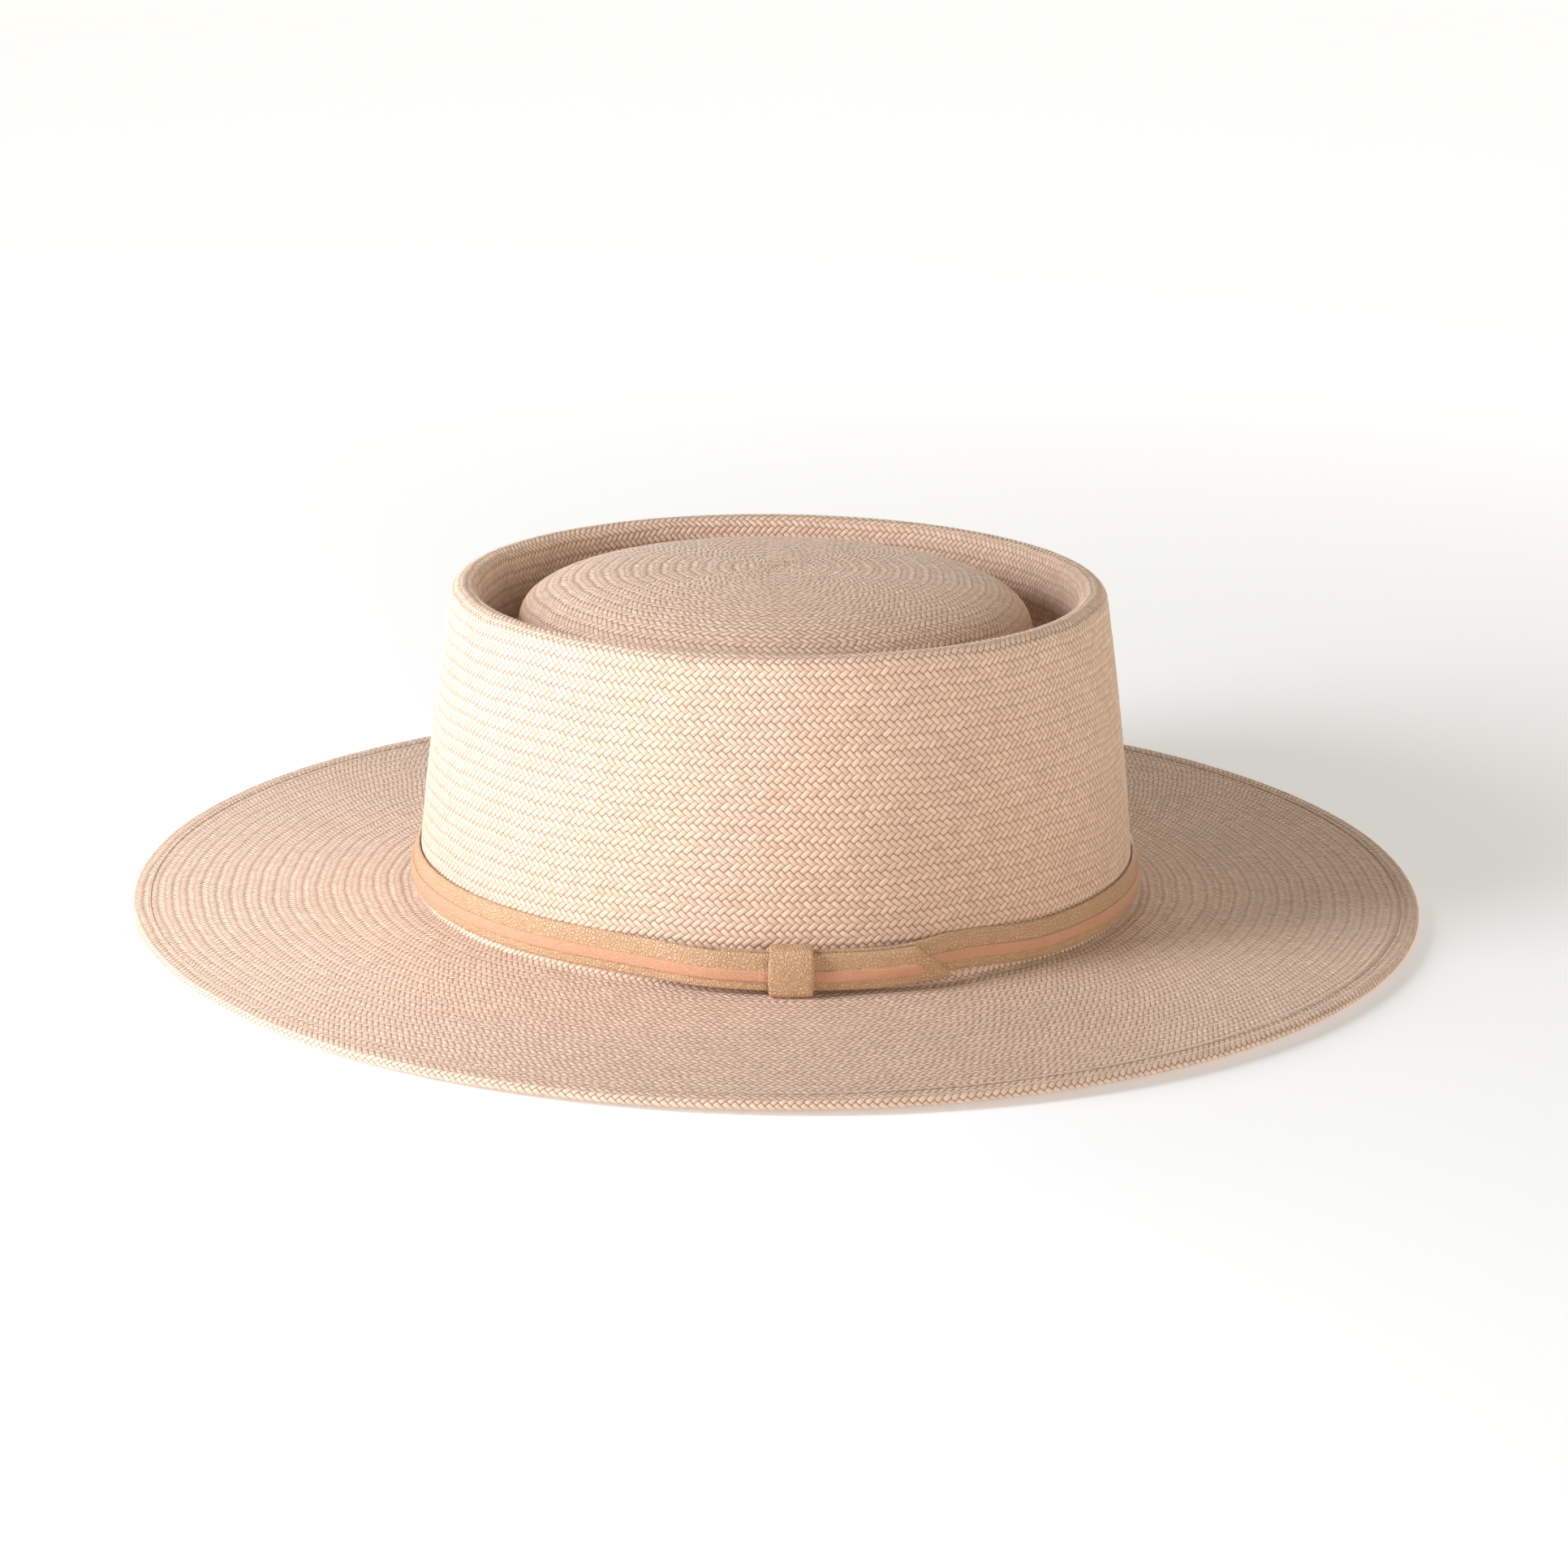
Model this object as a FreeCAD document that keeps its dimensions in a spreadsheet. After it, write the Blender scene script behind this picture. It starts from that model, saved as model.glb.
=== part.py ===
"""A telescope-crown panama hat: woven straw body, inner sweatband and a removable leather band.

Frame: +Z up, origin under the middle of the hat on the plane its brim rests on. X is the long
axis of the oval, with the wearer's front at -X and the back at +X; the band's keeper is at -Y.
"""

import FreeCAD, Part
import math
import os

import Sketcher
from FreeCAD import Placement, Rotation, Vector

UP = Vector(0, 0, 1)

DIMENSIONS = {
    # straw body
    "brim_length": 182.3,  # half the brim, along X
    "brim_width": 164.6,  # half the brim, along Y
    "straw_thick": 1.3,
    "hem_width": 6.0,
    "brim_rise": 0.4,
    "base_length": 101.6,  # half the crown's foot, along X
    "oval_step": 16.0,  # how much less the half width is than the half length
    "break_round": 1.5,  # where the brim turns up into the crown
    "wall_bulge": 0.8,
    "rim_length": 87.8,
    "rim_height": 91.7,
    "rim_round": 3.9,
    "wall_lean": 7.0,  # degrees off plumb where the wall meets the rim
    "moat_length": 77.0,
    "moat_bottom": 70.5,
    "moat_round": 5.0,
    "dome_height": 95.8,
    "dome_power": 3.2,
    "dome_cap": 4.0,
    # hem stitching
    "hem_thread_wide": 0.5,
    "hem_thread_high": 0.25,
    # sweatband and what is sewn to it
    "sweat_foot": 3.4,
    "sweat_top": 38.0,
    "sweat_thick": 1.0,
    "sweat_foot_length": 99.6,
    "sweat_top_length": 96.2,
    "sweat_thread_low": 6.4,
    "sweat_thread_high": 6.9,
    "reed_length": 100.1,
    "reed_level": 2.2,
    "reed_across": 1.1,
    "tape_thick": 0.2,
    "seam_tape_wide": 10.0,
    "seam_tape_thick": 0.2,
    "bow_loop": 11.0,
    "bow_tall": 6.0,
    "bow_deep": 2.4,
    "bow_ribbon": 0.5,
    "bow_knot": 4.0,
    "bow_level": 9.0,
    "bow_stand": 0.95,  # how far the flat bow stands off the hollow of the sweatband
    # leather band
    "strap_length": 102.3,  # half the strap's ring inside, along X
    "strap_foot": 5.2,
    "strap_tall": 10.6,
    "strap_thick": 1.2,
    "stripe_foot": 8.0,
    "stripe_tall": 3.2,
    "stripe_thick": 0.8,
    "lap_gap": 0.1,
    "lap_start": -14.0,  # X where the covered end of the strap lies
    "lap_ramp": 22.0,  # degrees over which the strap climbs on to its own end
    "stand": 1.5,  # how far the strap stands out from its ring where the keeper goes round it
    "stand_start": 263.0,  # bearings between which it stands out, from +X
    "stand_end": 289.5,
    "stand_ramp": 14.0,  # degrees over which it moves out and in again
    "tail_tip": 46.0,  # X of the tail's point
    "stripe_setback": 7.0,  # how far the stripe's end stays behind the strap's
    # keeper loop
    "keeper_across": 12.0,
    "keeper_thick": 1.1,
    "keeper_gap": 0.35,
    "keeper_place": 4.0,  # X of the keeper's middle
}


def make_sheet(doc):
    """The spreadsheet of driving dimensions, one aliased cell to a row."""
    sheet = doc.addObject("Spreadsheet::Sheet", "dimensions")
    for row, (name, value) in enumerate(DIMENSIONS.items(), start=1):
        sheet.set(f"A{row}", name)
        sheet.set(f"B{row}", str(value))
        sheet.setAlias(f"B{row}", name)
    doc.recompute()
    return sheet


def half_width(sheet, half_length):
    """The half width of the crown's oval that has this half length."""
    return half_length - sheet.oval_step


# --- the straw body: one closed outline carried round a changing oval ---


def brim_width_at(sheet, reach):
    """The brim's half width where its half length is reach."""
    inner = sheet.base_length + sheet.break_round
    share = (reach - inner) / (sheet.brim_length - inner)
    return half_width(sheet, inner) + share * (sheet.brim_width - half_width(sheet, inner))


def dome_width_at(sheet, reach):
    """The dome's half width where its half length is reach."""
    return reach * half_width(sheet, sheet.moat_length) / sheet.moat_length


def carried_round(edge, width_at):
    """The face that an outline edge makes, taken round an oval whose half width is width_at(half length)."""
    outline = edge.Curve.toBSpline(edge.FirstParameter, edge.LastParameter)
    corners = [(1, 0), (1, 1), (0, 1), (-1, 1), (-1, 0), (-1, -1), (0, -1), (1, -1), (1, 0)]
    corner_weights = [1 if 0 in corner else math.sqrt(0.5) for corner in corners]
    poles, weights = [], []
    for (along, across), corner_weight in zip(corners, corner_weights):
        poles.append([Vector(p.x * along, width_at(p.x) * across, p.z) for p in outline.getPoles()])
        weights.append([corner_weight * weight for weight in outline.getWeights()])
    surface = Part.BSplineSurface()
    surface.buildFromPolesMultsKnots(
        poles,
        [3, 2, 2, 2, 3],
        outline.getMultiplicities(),
        [0, 0.25, 0.5, 0.75, 1],
        outline.getKnots(),
        False,
        False,
        2,
        outline.Degree,
        weights,
    )
    return surface.toShape()


def oval_wire(length, width, level):
    """A level oval line."""
    oval = Part.Ellipse(Vector(length, 0, level), Vector(0, width, level), Vector(0, 0, level))
    return Part.Wire(oval.toShape())


def hem_face(sheet, level):
    """The flat level ring of the hem at its top or its underside."""
    reaches = (sheet.brim_length - sheet.straw_thick, sheet.brim_length - sheet.hem_width)
    outer, inner = (oval_wire(reach, brim_width_at(sheet, reach), level) for reach in reaches)
    return Part.Face(outer).cut(Part.Face(inner)).Faces[0]


def on_circle(centre, radius, degrees):
    """The outline point at this bearing on a circle, from +X towards +Z."""
    turn = math.radians(degrees)
    return centre + Vector(radius * math.cos(turn), 0, radius * math.sin(turn))


def arc(centre, radius, start, end):
    """An arc of the outline between two bearings."""
    stops = [on_circle(centre, radius, start + share * (end - start)) for share in (0, 0.5, 1)]
    return Part.Arc(*stops).toShape()


def line(start, end):
    """A straight stretch of the outline."""
    return Part.LineSegment(start, end).toShape()


def crown_skin(sheet, inset):
    """The crown's outline edges at a depth below its outside, from the brim break to the dome's cap.

    Returns the edges of the wall and rim, then those of the moat's inner half and the dome.
    """
    break_centre = Vector(sheet.base_length + sheet.break_round, 0, crown_foot(sheet))
    rim_centre = Vector(sheet.rim_length, 0, sheet.rim_height - sheet.rim_round)
    moat_centre = Vector(sheet.moat_length, 0, sheet.moat_bottom + sheet.moat_round)
    rim_round = sheet.rim_round - inset
    moat_round = sheet.moat_round + inset
    span = rim_centre - moat_centre
    bearing = math.degrees(math.atan2(span.z, span.x))
    swing = math.degrees(math.acos((rim_round + moat_round) / span.Length))
    slope = bearing - swing  # the straight wall between moat and rim touches both rounds here

    wall_foot = break_centre + Vector(-sheet.break_round - inset, 0, 0)
    wall_head = on_circle(rim_centre, rim_round, sheet.wall_lean)
    outward = Vector(wall_head.z - wall_foot.z, 0, wall_foot.x - wall_head.x).normalize()
    wall_middle = (wall_foot + wall_head) * 0.5 + outward * sheet.wall_bulge
    wall = [
        arc(break_centre, sheet.break_round + inset, 270, 180),
        Part.Arc(wall_foot, wall_middle, wall_head).toShape(),
        arc(rim_centre, rim_round, sheet.wall_lean, slope + 180),
        line(on_circle(rim_centre, rim_round, slope + 180), on_circle(moat_centre, moat_round, slope)),
        arc(moat_centre, moat_round, slope, -90),
    ]
    dome_foot = on_circle(moat_centre, moat_round, 180)
    dome = [arc(moat_centre, moat_round, -90, -180), dome_curve(sheet, dome_foot, inset)]
    return wall, dome


def dome_curve(sheet, foot, inset):
    """The dome from its foot to the edge of its flat cap: a superellipse, steep at the side, flat on top."""
    rise = sheet.dome_height - inset - foot.z
    places = [sheet.dome_cap / foot.x, 0.25, 0.45, 0.62, 0.76, 0.87, 0.94, 0.98, 1]
    heights = [rise * (1 - place**sheet.dome_power) ** (1 / sheet.dome_power) for place in places]
    points = [Vector(foot.x * place, 0, foot.z + high) for place, high in zip(places, heights)]
    curve = Part.BSplineCurve()
    curve.interpolate(Points=points[::-1], InitialTangent=UP, FinalTangent=Vector(-1, 0, 0))
    return curve.toShape()


def crown_foot(sheet):
    """The level at which the crown's wall starts above the rounded brim break."""
    return 2 * sheet.straw_thick + sheet.brim_rise + sheet.break_round


def straw_shape(sheet):
    """The woven body: crown and brim in one, with the brim's edge folded under."""
    thick = sheet.straw_thick
    hem_top = 2 * thick
    fold = Vector(sheet.brim_length - thick, 0, thick)
    hem_end = sheet.brim_length - sheet.hem_width
    break_reach = sheet.base_length + sheet.break_round
    break_top = hem_top + sheet.brim_rise
    outer_brim = [
        line(Vector(hem_end, 0, hem_top), Vector(break_reach, 0, break_top)),
        arc(fold, thick, -90, 90),
    ]
    inner_brim = [
        line(Vector(hem_end, 0, thick), Vector(hem_end, 0, 0)),
        line(Vector(break_reach, 0, break_top - thick), Vector(hem_end, 0, thick)),
    ]
    brim = outer_brim + inner_brim
    faces = [carried_round(edge, lambda reach: brim_width_at(sheet, reach)) for edge in brim]
    faces += [hem_face(sheet, level) for level in (0, hem_top)]
    for inset in (0, thick):
        wall, dome = crown_skin(sheet, inset)
        faces += [carried_round(edge, lambda reach: half_width(sheet, reach)) for edge in wall]
        faces += [carried_round(edge, lambda reach: dome_width_at(sheet, reach)) for edge in dome]
        cap_edge = dome[-1].Vertexes[-1].Point
        faces.append(Part.Face(oval_wire(cap_edge.x, dome_width_at(sheet, cap_edge.x), cap_edge.z)))
    shell = Part.makeShell(faces)
    shell.sewShape()
    solid = Part.makeSolid(shell)
    if solid.Volume < 0:
        solid.reverse()
    return solid


# --- features shared by the parametric parts ---


def computed_part(doc, label, shape):
    """A computed part with its own label."""
    part = doc.addObject("Part::Feature", label)
    part.Label = label
    part.Shape = shape
    part.Placement = Placement(Vector(0, 0, 0), Rotation())
    return part


def oval_edge(doc, name, length, level):
    """An oval at a level, its half length and level given as sheet expressions."""
    oval = doc.addObject("Part::Ellipse", name)
    oval.setExpression("MajorRadius", length)
    oval.setExpression("MinorRadius", f"({length}) - dimensions.oval_step")
    oval.setExpression("Placement.Base.z", level)
    return oval


def oval_loft(doc, name, foot, head):
    """A straight-sided oval block between two (half length, level) pairs of expressions."""
    loft = doc.addObject("Part::Loft", name)
    loft.Sections = [oval_edge(doc, f"{name}_foot", *foot), oval_edge(doc, f"{name}_head", *head)]
    loft.Solid = True
    loft.Ruled = True
    return loft


def oval_ring(doc, label, foot, head, thick):
    """An oval ring between two levels, its outer half lengths and its thickness given as expressions."""
    ring = doc.addObject("Part::Cut", label)
    ring.Label = label
    ring.Base = oval_loft(doc, f"{label}_outside", foot, head)
    inner = [(f"({length}) - ({thick})", level) for length, level in (foot, head)]
    ring.Tool = oval_loft(doc, f"{label}_inside", *inner)
    return ring


def body_sketch(body, name, plane):
    """A sketch on one of a body's own origin planes."""
    sketch = body.newObject("Sketcher::SketchObject", name)
    origin_plane = next(item for item in body.Origin.OriginFeatures if item.Role == plane)
    sketch.AttachmentSupport = [(origin_plane, "")]
    sketch.MapMode = "FlatFace"
    return sketch


def draw_rectangle(sketch, low, high, sizes):
    """A rectangle from low to high whose left, bottom, width and height follow four expressions."""
    (west, south), (east, north) = low, high
    corners = [Vector(west, south), Vector(east, south), Vector(east, north), Vector(west, north)]
    first = sketch.GeometryCount
    for index, corner in enumerate(corners):
        sketch.addGeometry(Part.LineSegment(corner, corners[(index + 1) % 4]), False)
    bottom, right, top, left = range(first, first + 4)
    for one, other in ((bottom, right), (right, top), (top, left), (left, bottom)):
        sketch.addConstraint(Sketcher.Constraint("Coincident", one, 2, other, 1))
    for side, kind in ((bottom, "Horizontal"), (top, "Horizontal"), (left, "Vertical"), (right, "Vertical")):
        sketch.addConstraint(Sketcher.Constraint(kind, side))
    bindings = [
        ("DistanceX", (-1, 1, bottom, 1), west),
        ("DistanceY", (-1, 1, bottom, 1), south),
        ("DistanceX", (bottom, 1, bottom, 2), east - west),
        ("DistanceY", (right, 1, right, 2), north - south),
    ]
    for (kind, places, value), size in zip(bindings, sizes):
        number = sketch.addConstraint(Sketcher.Constraint(kind, *places, value))
        sketch.setExpression(f"Constraints[{number}]", size)


# --- the sweatband and its trimmings ---


def sweat_length_at(level):
    """The expression for the sweatband's outer half length at a level expression."""
    lean = "(dimensions.sweat_foot_length - dimensions.sweat_top_length)"
    rise = "(dimensions.sweat_top - dimensions.sweat_foot)"
    return f"dimensions.sweat_foot_length - {lean} * (({level}) - dimensions.sweat_foot) / {rise}"


def sweat_ring(doc, label, foot, head, offset, thick):
    """A ring on the sweatband's slope between two levels, its outside offset from the band's."""
    ends = [(f"{sweat_length_at(level)} + ({offset})", level) for level in (foot, head)]
    return oval_ring(doc, label, *ends, thick)


def make_sweatband(doc):
    """The leather sweatband that lines the head opening."""
    return sweat_ring(
        doc, "sweatband", "dimensions.sweat_foot", "dimensions.sweat_top", "0", "dimensions.sweat_thick"
    )


def make_sweatband_thread(doc):
    """The row of stitching round the sweatband's foot, on its inner face."""
    return sweat_ring(
        doc,
        "sweatband_thread",
        "dimensions.sweat_thread_low",
        "dimensions.sweat_thread_high",
        "-dimensions.sweat_thick",
        "dimensions.hem_thread_high",
    )


def make_seam_tape(doc):
    """The tape behind the sweatband that joins its two ends at the back of the hat."""
    ring = sweat_ring(
        doc,
        "seam_tape_ring",
        "dimensions.sweat_thread_high",
        "dimensions.sweat_top",
        "dimensions.seam_tape_thick",
        "dimensions.seam_tape_thick",
    )
    window = doc.addObject("Part::Box", "seam_tape_window")
    window.setExpression("Length", "dimensions.base_length")
    window.setExpression("Width", "dimensions.seam_tape_wide")
    window.setExpression("Height", "dimensions.sweat_top")
    window.setExpression("Placement.Base.y", "-dimensions.seam_tape_wide / 2")
    tape = doc.addObject("Part::Common", "sweatband_seam_tape")
    tape.Label = "sweatband_seam_tape"
    tape.Base = ring
    tape.Tool = window
    return tape


def tube_along_oval(sheet, outer, inner):
    """A ring of round section along the reed's oval, hollow where inner is not zero."""
    length, width = sheet.reed_length, half_width(sheet, sheet.reed_length)
    level = sheet.reed_level
    oval = Part.Ellipse(Vector(length, 0, level), Vector(0, width, level), Vector(0, 0, level))
    path = Part.Wire(oval.toShape())
    ring = None
    for across in (outer, inner):
        if across:
            section = Part.Wire(Part.Circle(Vector(length, 0, level), Vector(0, 1, 0), across / 2).toShape())
            solid = path.makePipeShell([section], True, True)
            ring = solid if ring is None else ring.cut(solid)
    return ring


def make_bow(doc):
    """The small ribbon bow over the sweatband's seam: two flat loops and a knot."""
    body = doc.addObject("PartDesign::Body", "sweatband_bow")
    body.Label = "sweatband_bow"
    sketch = body_sketch(body, "bow_outline", "XY_Plane")
    draw_rectangle(
        sketch,
        (0, -11),
        (2.4, 11),
        ["0", "-dimensions.bow_loop", "dimensions.bow_deep", "2 * dimensions.bow_loop"],
    )
    loops = body.newObject("PartDesign::Pad", "bow_loops")
    loops.Profile = sketch
    loops.setExpression("Length", "dimensions.bow_tall")
    starts = {"left": "-dimensions.bow_loop + dimensions.bow_ribbon", "right": "dimensions.bow_knot / 2"}
    for side, start in starts.items():
        hollow = body_sketch(body, f"bow_{side}_hollow", "XY_Plane")
        length = "dimensions.bow_loop - dimensions.bow_ribbon - dimensions.bow_knot / 2"
        low = -10.5 if side == "left" else 2
        sizes = ["dimensions.bow_ribbon", start, "dimensions.bow_deep - 2 * dimensions.bow_ribbon", length]
        draw_rectangle(hollow, (0.5, low), (1.9, low + 8.5), sizes)
        pocket = body.newObject("PartDesign::Pocket", f"bow_{side}_loop")
        pocket.Profile = hollow
        pocket.Type = "ThroughAll"
        pocket.Reversed = True
    doc.recompute()
    knot = body_sketch(body, "bow_knot_outline", "XY_Plane")
    draw_rectangle(
        knot,
        (-0.5, -2),
        (2.4, 2),
        [
            "-dimensions.bow_ribbon",
            "-dimensions.bow_knot / 2",
            "dimensions.bow_deep + dimensions.bow_ribbon",
            "dimensions.bow_knot",
        ],
    )
    wrap = body.newObject("PartDesign::Pad", "bow_knot")
    wrap.Profile = knot
    wrap.setExpression("Length", "dimensions.bow_tall")
    body.setExpression(
        "Placement.Base.x",
        f"{sweat_length_at('dimensions.bow_level + dimensions.bow_tall')}"
        " - dimensions.sweat_thick - dimensions.bow_deep - dimensions.bow_stand",
    )
    body.setExpression("Placement.Base.z", "dimensions.bow_level")
    return body


# --- the leather band ---


def eased(share):
    """A smooth rise from 0 to 1 as share does, level before and after."""
    share = min(max(share, 0), 1)
    return share * share * (3 - 2 * share)


def climb(sheet, degrees):
    """How far the strap stands out from its own ring at a bearing: at the keeper, and over its own end."""
    lap = 360 + start_bearing(sheet)
    over = eased((degrees - lap + sheet.lap_ramp) / sheet.lap_ramp)
    bearing = degrees % 360
    out = eased((bearing - sheet.stand_start) / sheet.stand_ramp + 1)
    back = eased((bearing - sheet.stand_end) / sheet.stand_ramp)
    return over * (sheet.strap_thick + sheet.stripe_thick + sheet.lap_gap) + (out - back) * sheet.stand


def start_bearing(sheet):
    """The bearing of the strap's covered end, in degrees from +X round the oval."""
    return 360 - math.degrees(math.acos(sheet.lap_start / sheet.strap_length))


def strip_length(sheet, reach, thick, start, end):
    """The plan of a stretch of strip between two bearings, standing on the oval of half length reach."""
    steps = max(8, round((end - start) / 4))
    sides = []
    for outward in (0, thick):
        points = []
        for step in range(steps + 1):
            bearing = start + (end - start) * step / steps
            length = reach + outward + climb(sheet, bearing)
            turn = math.radians(bearing)
            points.append(Vector(length * math.cos(turn), half_width(sheet, length) * math.sin(turn)))
        side = Part.BSplineCurve()
        side.interpolate(points)
        sides.append(side.toShape())
    ends = [line(*(side.Vertexes[place].Point for side in sides)) for place in (0, -1)]
    return Part.Face(Part.Wire([sides[0], ends[1], sides[1], ends[0]]))


def strip_shape(sheet, reach, thick, foot, tall, tip):
    """A leather strip on edge: it starts under the lap, goes once round and ends on top in a slanted tail.

    tip is the X at which the slant would meet the strap's foot.
    """
    start = start_bearing(sheet)
    tail_reach = reach + climb(sheet, 720)
    slant_start = tip - sheet.strap_tall - 1
    joint, end = (720 - math.degrees(math.acos(x / tail_reach)) for x in (slant_start, tip))
    tail = strip_length(sheet, reach, thick, joint, end).extrude(UP * tall)
    tail.translate(UP * foot)
    low, high = sheet.strap_foot, sheet.strap_foot + sheet.strap_tall
    corners = [(tip, low), (tip + 10, low), (tip + 10, high), (tip - sheet.strap_tall, high), (tip, low)]
    offcut = Part.Face(Part.makePolygon([Vector(x, 0, z) for x, z in corners]))
    tail = tail.cut(offcut.extrude(Vector(0, -sheet.brim_width, 0)))
    ring = strip_length(sheet, reach, thick, start, joint).extrude(UP * tall)
    ring.translate(UP * foot)
    return ring.fuse(tail).removeSplitter()


def make_keeper(doc):
    """The leather loop that holds the strap's tail, bent to the strap's own curve.

    Its section is turned about the upright axis at the centre of the strap's curve at -Y.
    """
    body = doc.addObject("PartDesign::Body", "band_keeper")
    body.Label = "band_keeper"
    strap_length = "(dimensions.strap_length + dimensions.stand)"
    bend = curve_radius(strap_length)
    axis_back = f"({bend} - ({strap_length} - dimensions.oval_step))"
    thick = "dimensions.keeper_thick"
    inside = f"({bend} - dimensions.keeper_gap)"
    foot = "(dimensions.strap_foot - dimensions.keeper_gap)"
    layers = "2 * (dimensions.strap_thick + dimensions.stripe_thick) + dimensions.lap_gap"
    deep = f"({layers} + 2 * dimensions.keeper_gap)"
    tall = "(dimensions.strap_tall + 2 * dimensions.keeper_gap)"
    outside = [f"{inside} - {thick}", f"{foot} - {thick}", f"{deep} + 2 * {thick}", f"{tall} + 2 * {thick}"]
    section = body_sketch(body, "keeper_section", "XZ_Plane")
    draw_rectangle(section, (121, 3), (129, 17), outside)
    draw_rectangle(section, (122, 4), (127, 15), [inside, foot, deep, tall])
    loop = body.newObject("PartDesign::Revolution", "keeper_loop")
    loop.Profile = section
    loop.ReferenceAxis = (section, ["V_Axis"])
    loop.setExpression("Angle", f"dimensions.keeper_across / {bend} * 180 / pi")
    loop.Midplane = True
    body.setExpression("Placement.Base.y", axis_back)
    body.setExpression("Placement.Rotation.Angle", f"-90 deg + asin(dimensions.keeper_place / {bend})")
    return body


def curve_radius(length):
    """The expression for the radius of curvature at -Y of an oval of this half length."""
    return f"(({length})^2 / (({length}) - dimensions.oval_step))"


def make_hem_thread(doc):
    """The line of stitching on top of the hem, inside the brim's edge."""
    ring = doc.addObject("Part::Cut", "hem_thread")
    ring.Label = "hem_thread"
    blocks = []
    for name, inset in (("outside", "0"), ("inside", "dimensions.hem_thread_wide")):
        oval = doc.addObject("Part::Ellipse", f"hem_thread_{name}_oval")
        for radius, half in (("MajorRadius", "length"), ("MinorRadius", "width")):
            reach = f"dimensions.brim_{half} - dimensions.hem_width + 2 * dimensions.hem_thread_wide"
            oval.setExpression(radius, f"{reach} - {inset}")
        oval.setExpression("Placement.Base.z", "2 * dimensions.straw_thick")
        block = doc.addObject("Part::Extrusion", f"hem_thread_{name}")
        block.Base = oval
        block.Dir = UP
        block.Solid = True
        block.setExpression("LengthFwd", "dimensions.hem_thread_high")
        blocks.append(block)
    ring.Base, ring.Tool = blocks
    return ring


def check_document(doc):
    """Stops if any feature of the document failed to compute."""
    failed = [item.Label for item in doc.Objects if {"Invalid", "Error"} & set(item.State)]
    if failed:
        raise RuntimeError(f"features that failed: {failed}")


def write_parts(parts):
    """Checks each part's shape, then writes every part to its own STEP file."""
    for part in parts:
        shape = part.Shape
        if shape.isNull() or not shape.isValid() or not shape.Solids:
            raise RuntimeError(f"{part.Label} has no valid solid")
    os.makedirs("parts", exist_ok=True)
    for part in parts:
        part.Shape.exportStep(f"parts/{part.Label}.step")
        box = part.Shape.BoundBox
        size = f"{box.XLength:.1f} x {box.YLength:.1f} x {box.ZLength:.1f}, from z {box.ZMin:.2f}"
        print(f"{part.Label}: {len(part.Shape.Solids)} solid, {part.Shape.Volume:.0f} mm3, {size}")


def main():
    """Builds the document and writes its parts."""
    doc = FreeCAD.newDocument("panama_hat")
    sheet = make_sheet(doc)
    reed = tube_along_oval(sheet, sheet.reed_across, 0)
    tape = tube_along_oval(sheet, sheet.reed_across + 2 * sheet.tape_thick, sheet.reed_across)
    strap = strip_shape(
        sheet, sheet.strap_length, sheet.strap_thick, sheet.strap_foot, sheet.strap_tall, sheet.tail_tip
    )
    stripe = strip_shape(
        sheet,
        sheet.strap_length + sheet.strap_thick,
        sheet.stripe_thick,
        sheet.stripe_foot,
        sheet.stripe_tall,
        sheet.tail_tip - sheet.stripe_setback,
    )
    parts = [
        computed_part(doc, "straw_body", straw_shape(sheet)),
        make_hem_thread(doc),
        make_sweatband(doc),
        make_sweatband_thread(doc),
        computed_part(doc, "sweatband_reed", reed),
        computed_part(doc, "reed_tape", tape),
        make_seam_tape(doc),
        make_bow(doc),
        computed_part(doc, "band_strap", strap),
        computed_part(doc, "band_stripe", stripe),
        make_keeper(doc),
    ]
    doc.recompute()
    check_document(doc)
    write_parts(parts)


main()
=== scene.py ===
"""A woven straw hat: telescope crown, flat brim with a folded hem, and a two-tone leather band."""

import logging
import math
from collections.abc import Callable, Iterable, Sequence
from dataclasses import dataclass, field
from enum import Enum

import bmesh
import bpy
import numpy as np
from mathutils import Euler, Matrix, Vector


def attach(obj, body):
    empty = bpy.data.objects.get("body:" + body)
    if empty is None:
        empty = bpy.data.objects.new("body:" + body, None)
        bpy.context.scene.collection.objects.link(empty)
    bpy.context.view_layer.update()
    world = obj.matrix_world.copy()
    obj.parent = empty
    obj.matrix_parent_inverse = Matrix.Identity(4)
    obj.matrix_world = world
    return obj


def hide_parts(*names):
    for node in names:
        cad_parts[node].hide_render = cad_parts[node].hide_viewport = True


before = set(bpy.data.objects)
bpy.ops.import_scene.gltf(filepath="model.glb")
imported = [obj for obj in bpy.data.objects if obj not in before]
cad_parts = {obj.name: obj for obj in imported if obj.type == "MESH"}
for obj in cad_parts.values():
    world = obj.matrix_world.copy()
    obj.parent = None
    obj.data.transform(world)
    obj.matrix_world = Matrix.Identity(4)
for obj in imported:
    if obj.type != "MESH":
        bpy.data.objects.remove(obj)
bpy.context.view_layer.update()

log = logging.getLogger("straw_hat")

MM = 0.001
Array = np.ndarray
Socket = bpy.types.NodeSocket
Placer = Callable[[Array, Array], Array]


class Skin(Enum):
    """Which side of the straw a piece covers."""

    OUTSIDE = "outside"
    INSIDE = "inside"


class Close(Enum):
    """Which directions of a lofted grid are joined into a ring."""

    ROUND = "round"
    BOTH = "both"
    SECTION = "section"


# --- meshes ---


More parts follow.
